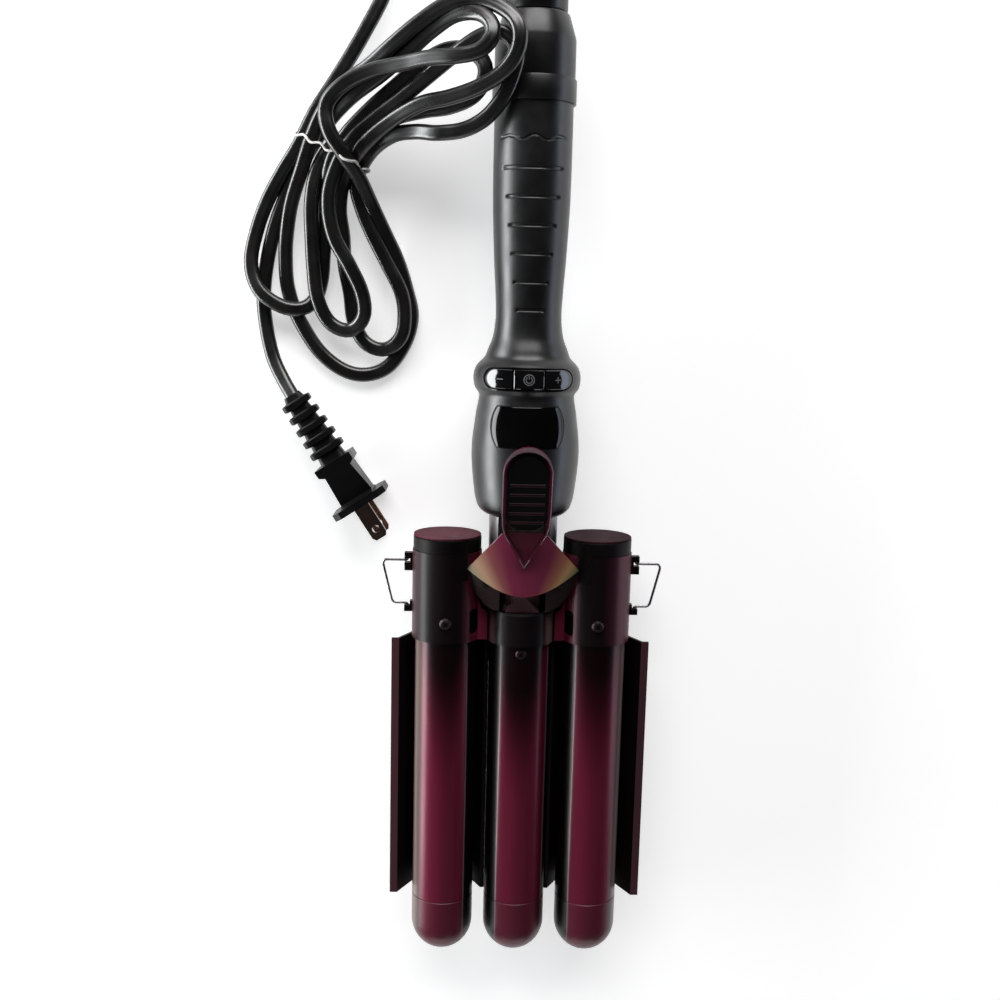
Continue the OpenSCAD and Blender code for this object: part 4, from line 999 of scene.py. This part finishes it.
def leverOutline(edge, crown=0.0):
    # edge is how far in, crown how much further in at the rounded end
    half, radius = lever["width"] / 2, lever["endRadius"]
    flank = [(half * part - edge, y) for part, y in lever["flank"]]
    loop = [(0, lever["root"] + edge * 2)] + flank
    for i in range(25):
        a = math.pi * i / 24
        deep = edge + crown * math.sin(a) ** 2
        loop.append(((half - deep) * math.cos(a), lever["end"] - radius + (radius - deep) * math.sin(a)))
    return loop + [(-x, y) for x, y in reversed(flank)]


def addLeverTrim():
    top = lever["rimTop"]
    outer, inner = leverOutline(0.1), leverOutline(0.42, 1.4)
    steps = [(outer, -0.3), (outer, top - 0.05), (leverOutline(0.16, 0.1), top),
             (leverOutline(0.36, 1.3), top), (inner, top - 0.05), (inner, -0.3)]
    rings = [[(x, y, leverHeight(x, y, lift)) for x, y in denseLoop(loop, 40)] for loop, lift in steps]
    # the rim strip carries a painted highlight
    addPiece("leverRimPaintedHighlight", rings + [rings[0]], "jaw", rimPaintedHighlight, 30, (False, False))
    half, low, high = lever["padHalf"], lever["padLow"], lever["padHigh"]
    lower, upper = lever["padRound"]
    arch = [(half * math.cos(math.pi * k / 20), math.sin(math.pi * k / 20)) for k in range(21)]
    loop = [(x, high - upper + upper * y) for x, y in arch]
    loop += [(-x, low + lower - lower * y) for x, y in arch]
    addSkinPatch("leverPad", denseLoop(cleanLoop(loop), 1.2), -lever["padDrop"], 0.75, 0.04, padFinish,
                 (0, (low + high) / 2), "jaw", 12, height=leverHeight)


addLeverTrim()
print("jaw trimmed")


# screws

recess = {
    "arm": 0.95,
    "half": 0.2,
    "depth": 0.5,
    "proud": 0.03,
}


def addRecess(name, x, y, top, turn, body):
    # a dark cross on a screw's head, painted shade in its cross recess
    a, h = recess["arm"], recess["half"]
    corner = [(a, -h), (a, h), (h, h)]
    loop = []
    for k in range(4):
        angle = math.radians(turn + 90 * k)
        c, s = math.cos(angle), math.sin(angle)
        loop += [(x + u * c - v * s, y + u * s + v * c) for u, v in corner]
    rings = [[(u, v, top + rise) for u, v in loop] for rise in (-recess["depth"], recess["proud"])]
    addPiece(name, rings, body, paintedShadeFinish, 30)


def screwTop(node, side):
    # middle and height of the head on one side of the object
    found = [v.co / milli for v in nodes[node].data.vertices if v.co.x * side >= 0]
    high = max(p.z for p in found)
    head = [p for p in found if p.z > high - 1.2]
    middle = [(min(p[i] for p in head) + max(p[i] for p in head)) / 2 for i in range(2)]
    return middle[0], middle[1], high


for name, node, side, turn, body in (
        ("leftRecess", "housing_screws", -1, 20, "jaw"), ("rightRecess", "housing_screws", 1, 55, "jaw"),
        ("middleRecess", "middle_screw", 0, 35, "handle")):
    addRecess(name, *screwTop(node, side), turn, body)
print("screws made")


# plug

plug = {
    "turn": -56.8,
    "ribs": 5,
    "pitch": 5.4,
    "core": 3.6,
    "ribHeight": 1.9,
    "start": [(-1.5, 3.0), (0, 3.4)],
    "end": [(28.6, 4.9), (29.5, 5.2)],
    "square": 4.0,  # 2 would be an ellipse
    "section": (1.12, 0.72),  # width and height against the radius
}


def onPlug(points):
    # x runs from the lead's end into the plug
    turn = Matrix.Rotation(math.radians(plug["turn"]), 3, "Z")
    base = Vector(leadRoute[-1])
    return [tuple(base + turn @ Vector(p)) for p in points]


def addPlugRelief():
    profile = list(plug["start"])
    for i in range(plug["ribs"]):
        x = 1 + plug["pitch"] * i
        core = plug["core"] + i * 0.25
        r = core + plug["ribHeight"]
        profile += [(x - 0.2, core), (x, r - 0.5), (x + 0.4, r), (x + 2.4, r), (x + 2.8, r - 0.5),
                    (x + 3.0, core)]
    wide, tall = plug["section"]
    power = plug["square"]
    rings = []
    for x, r in profile + plug["end"]:
        ring = []
        for c, s in circle(32):
            size = (abs(c) ** power + abs(s) ** power) ** (-1 / power)
            ring.append((x, c * size * r * wide, s * size * r * tall))
        rings.append(onPlug(ring))
    item = addPiece("plugRelief", rings, "handle", plugFinish, 35)
    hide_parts("plug_relief")
    return item


plugRelief = addPlugRelief()

tie = {
    "at": (-76.5, 161.0),
    "along": (0.894, -0.447),
    "reach": 24.0,
    "wire": 0.5,
    "wave": 0.7,
    "waves": 9,
}


def convexOutline(points):
    points = sorted(points)

    def half(row):
        kept = []
        for p in row:
            while len(kept) > 1 and ((kept[-1][0] - kept[-2][0]) * (p[1] - kept[-2][1])
                                     - (kept[-1][1] - kept[-2][1]) * (p[0] - kept[-2][0])) <= 0:
                kept.pop()
            kept.append(p)
        return kept[:-1]

    return half(points) + half(points[::-1])


def addTie():
    u = Vector((*tie["along"], 0))
    n = Vector((-u.y, u.x, 0))
    base = Vector((*tie["at"], 0))
    clear = cord["width"] / 2 + tie["wire"]
    around = []
    for a, b in zip(leadPoints, leadPoints[1:]):
        before, after = (a - base).dot(n), (b - base).dot(n)
        if before * after <= 0 and before != after:
            p = a.lerp(b, before / (before - after))
            x = (p - base).dot(u)
            if abs(x) < tie["reach"]:
                around += [(x + clear * c, max(p.z + clear * s, tie["wire"] + 0.1)) for c, s in circle(16)]
    loop = denseLoop(convexOutline(around), 1.0)
    path = []
    for k, (s, z) in enumerate(loop):
        wave = tie["wave"] * math.sin(2 * math.pi * tie["waves"] * k / len(loop))
        path.append(base + u * s + n * wave + Vector((0, 0, z)))
    rings = []
    for k, p in enumerate(path):
        ahead = (path[(k + 1) % len(path)] - path[k - 1]).normalized()
        side = ahead.cross(n).normalized()
        rings.append([tuple(p + (side * c + n * s) * tie["wire"]) for c, s in circle(10)])
    item = addPiece("cordTie", rings + [rings[0]], "handle", tieFinish, caps=(False, False))
    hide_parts("cord_tie")
    return item


cordTie = addTie()
print("plug made")


# finishes of the carried-over nodes

carried = (
    (gripFinish, "grip_shell_front grip_shell_rear tail_band swivel_cap"),
    (glossFinish, "display_window key_bezel key_minus key_power key_plus"),
    (bandFinish, "yoke left_housing right_housing rear_cover left_stand_lugs right_stand_lugs"),
    (screwFinish, "pivot_pin lever_screw middle_screw housing_screws plate_rivets cover_screws shell_screws"),
    (steelFinish, "return_spring left_wire_stand right_wire_stand board_screws"),
    (neckFinish, "neck_tube"),
    (saddleFinish, "saddle"),
    (leverFinish, "thumb_lever"),
    (sleeveFinish["left"], "left_bracket"),
    (sleeveFinish["middle"], "middle_sleeve"),
    (sleeveFinish["right"], "right_bracket"),
    (plateFinish, "left_wave_plate right_wave_plate"),
    (heaterFinish, "left_heater middle_heater right_heater"),
    (boardFinish, "circuit_board"),
    (innerFinish, "display_module key_switches"),
    (brassFinish, "plug_blades slip_brushes slip_rings"),
    (cordFinish, "mains_leads cord_lead cord_hank_lower cord_hank_upper cord_tail"),
    (plugFinish, "plug_body plug_relief strain_relief"),
    (tieFinish, "cord_tie"),
)
bevelled = (
    "saddle thumb_lever left_bracket right_bracket middle_sleeve left_housing right_housing "
    "left_wave_plate right_wave_plate rear_cover plug_body"
)
for material, names in carried:
    for name in names.split():
        setFinish(nodes[name], material)
for side in barrelPaintedReflections:
    setFinish(nodes[side + "_barrel"], barrelFinish[side])
    setFinish(nodes[side + "_tip_cap"], tipFinish[side])
for item in nodes.values():
    smooth(item, 30)
for name in bevelled.split():
    addBevel(nodes[name])

twoToneAndSheen = {
    "wing": (3.1, 9.4, 21.8),  # end of the plum part at the sides, its droop and its half width
    "lip": 3.4,  # over the axis
    "gusset": (6.6, -14, -3, 7),  # half width, from and to, and height over the axis
}


def onWing(centre, normal):
    end, droop, half = twoToneAndSheen["wing"]
    return centre.y < end - droop * math.cos(math.radians(90 * min(1, abs(centre.x) / half)))


# upward faces of the wave plates' lips get a painted sheen
def onSheenLip(centre, normal):
    return centre.z > axisHeight + twoToneAndSheen["lip"] and normal.z > 0.7


def onRib(centre, normal):
    inside = abs(centre.x) < lever["padHalf"] - 0.2 and lever["padLow"] < centre.y < lever["padHigh"]
    return inside and centre.z > leverHeight(0, centre.y, -1.2)


def onGusset(centre, normal):
    half, low, high, over = twoToneAndSheen["gusset"]
    return abs(centre.x) < half and low < centre.y < high and centre.z > axisHeight + over


def secondFinish(name, material, wanted):
    # a second finish on those faces of a node that are wanted
    item = nodes[name]
    item.data.materials.append(material)
    matrix = item.matrix_world
    for face in item.data.polygons:
        if wanted(matrix @ face.center / milli, matrix.to_3x3() @ face.normal):
            face.material_index = 1


for name, material, wanted in (
        ("saddle", wingFinish, onWing), ("yoke", lipFinish, onGusset), ("thumb_lever", ribFinish, onRib),
        ("left_wave_plate", lipFinish, onSheenLip), ("right_wave_plate", lipFinish, onSheenLip)):
    secondFinish(name, material, wanted)
print("finishes set")


# floor and light

room = {
    "floor": 6000,  # half of its side
    "floorColour": (0.86, 0.86, 0.86, 1),
    "floorGlow": 0.5,  # seen by the camera and in gloss, but it lights nothing
    "sky": (0.5, 0.5, 0.52, 1),
    "skyStrength": 0.06,
}
lamps = {  # place, target and size in metres, power and colour
    "leftWindow": ((-0.85, 0.08, 0.15), (0, 0.05, 0.02), (1.3, 0.30), 16, (0.96, 0.99, 1.0)),
    "rightWindow": ((0.95, 0.08, 0.15), (0, 0.05, 0.02), (1.2, 0.24), 2.4, (0.74, 0.82, 1.0)),
    "farFill": ((0.0, 1.6, 1.0), (0, 0.05, 0), (1.8, 0.9), 34, (1.0, 0.98, 0.98)),
    "nearFill": ((0.0, -1.8, 0.35), (0, 0, 0), (1.6, 0.5), 5, (1.0, 0.98, 0.98)),
    "tipSky": ((0.0, -1.1, 1.0), (0, -1.1, 0), (1.6, 1.1), 0.9, (1.0, 0.97, 0.98)),
}


def addFloor():
    s = room["floor"]
    item = addMesh("floor", [(-s, -s, 0), (s, -s, 0), (s, s, 0), (-s, s, 0)], [(0, 1, 2, 3)])
    material, tree, shader = newMaterial("paleFloor")
    shader.inputs["Base Color"].default_value = room["floorColour"]
    shader.inputs["Roughness"].default_value = 0.9
    shader.inputs["Specular IOR Level"].default_value = 0.1
    rays = tree.nodes.new("ShaderNodeLightPath").outputs
    seen = chained(tree, rays["Is Camera Ray"], ("MAXIMUM", rays["Is Glossy Ray"]),
                   ("MAXIMUM", rays["Is Transmission Ray"]), ("MULTIPLY", room["floorGlow"]))
    glow = tree.nodes.new("ShaderNodeEmission")
    glow.inputs["Color"].default_value = (1, 1, 1, 1)
    tree.links.new(seen, glow.inputs["Strength"])
    both = tree.nodes.new("ShaderNodeAddShader")
    tree.links.new(shader.outputs[0], both.inputs[0])
    tree.links.new(glow.outputs[0], both.inputs[1])
    tree.links.new(both.outputs[0], tree.nodes["Material Output"].inputs["Surface"])
    setFinish(item, material)


def addLamp(name, place, target, size, power, colour):
    data = bpy.data.lights.new(name, "AREA")
    data.shape = "RECTANGLE"
    data.size, data.size_y = size
    data.energy = power
    data.color = colour
    item = addItem(name, data)
    item.location = place
    item.rotation_euler = (Vector(target) - Vector(place)).to_track_quat("-Z", "Y").to_euler()


addFloor()
for name, values in lamps.items():
    addLamp(name, *values)

world = bpy.data.worlds.new("softRoom")
bpy.context.scene.world = world
world.use_nodes = True
background = world.node_tree.nodes["Background"]
background.inputs["Color"].default_value = room["sky"]
background.inputs["Strength"].default_value = room["skyStrength"]
bpy.context.scene.view_settings.view_transform = "Standard"
print("light set")
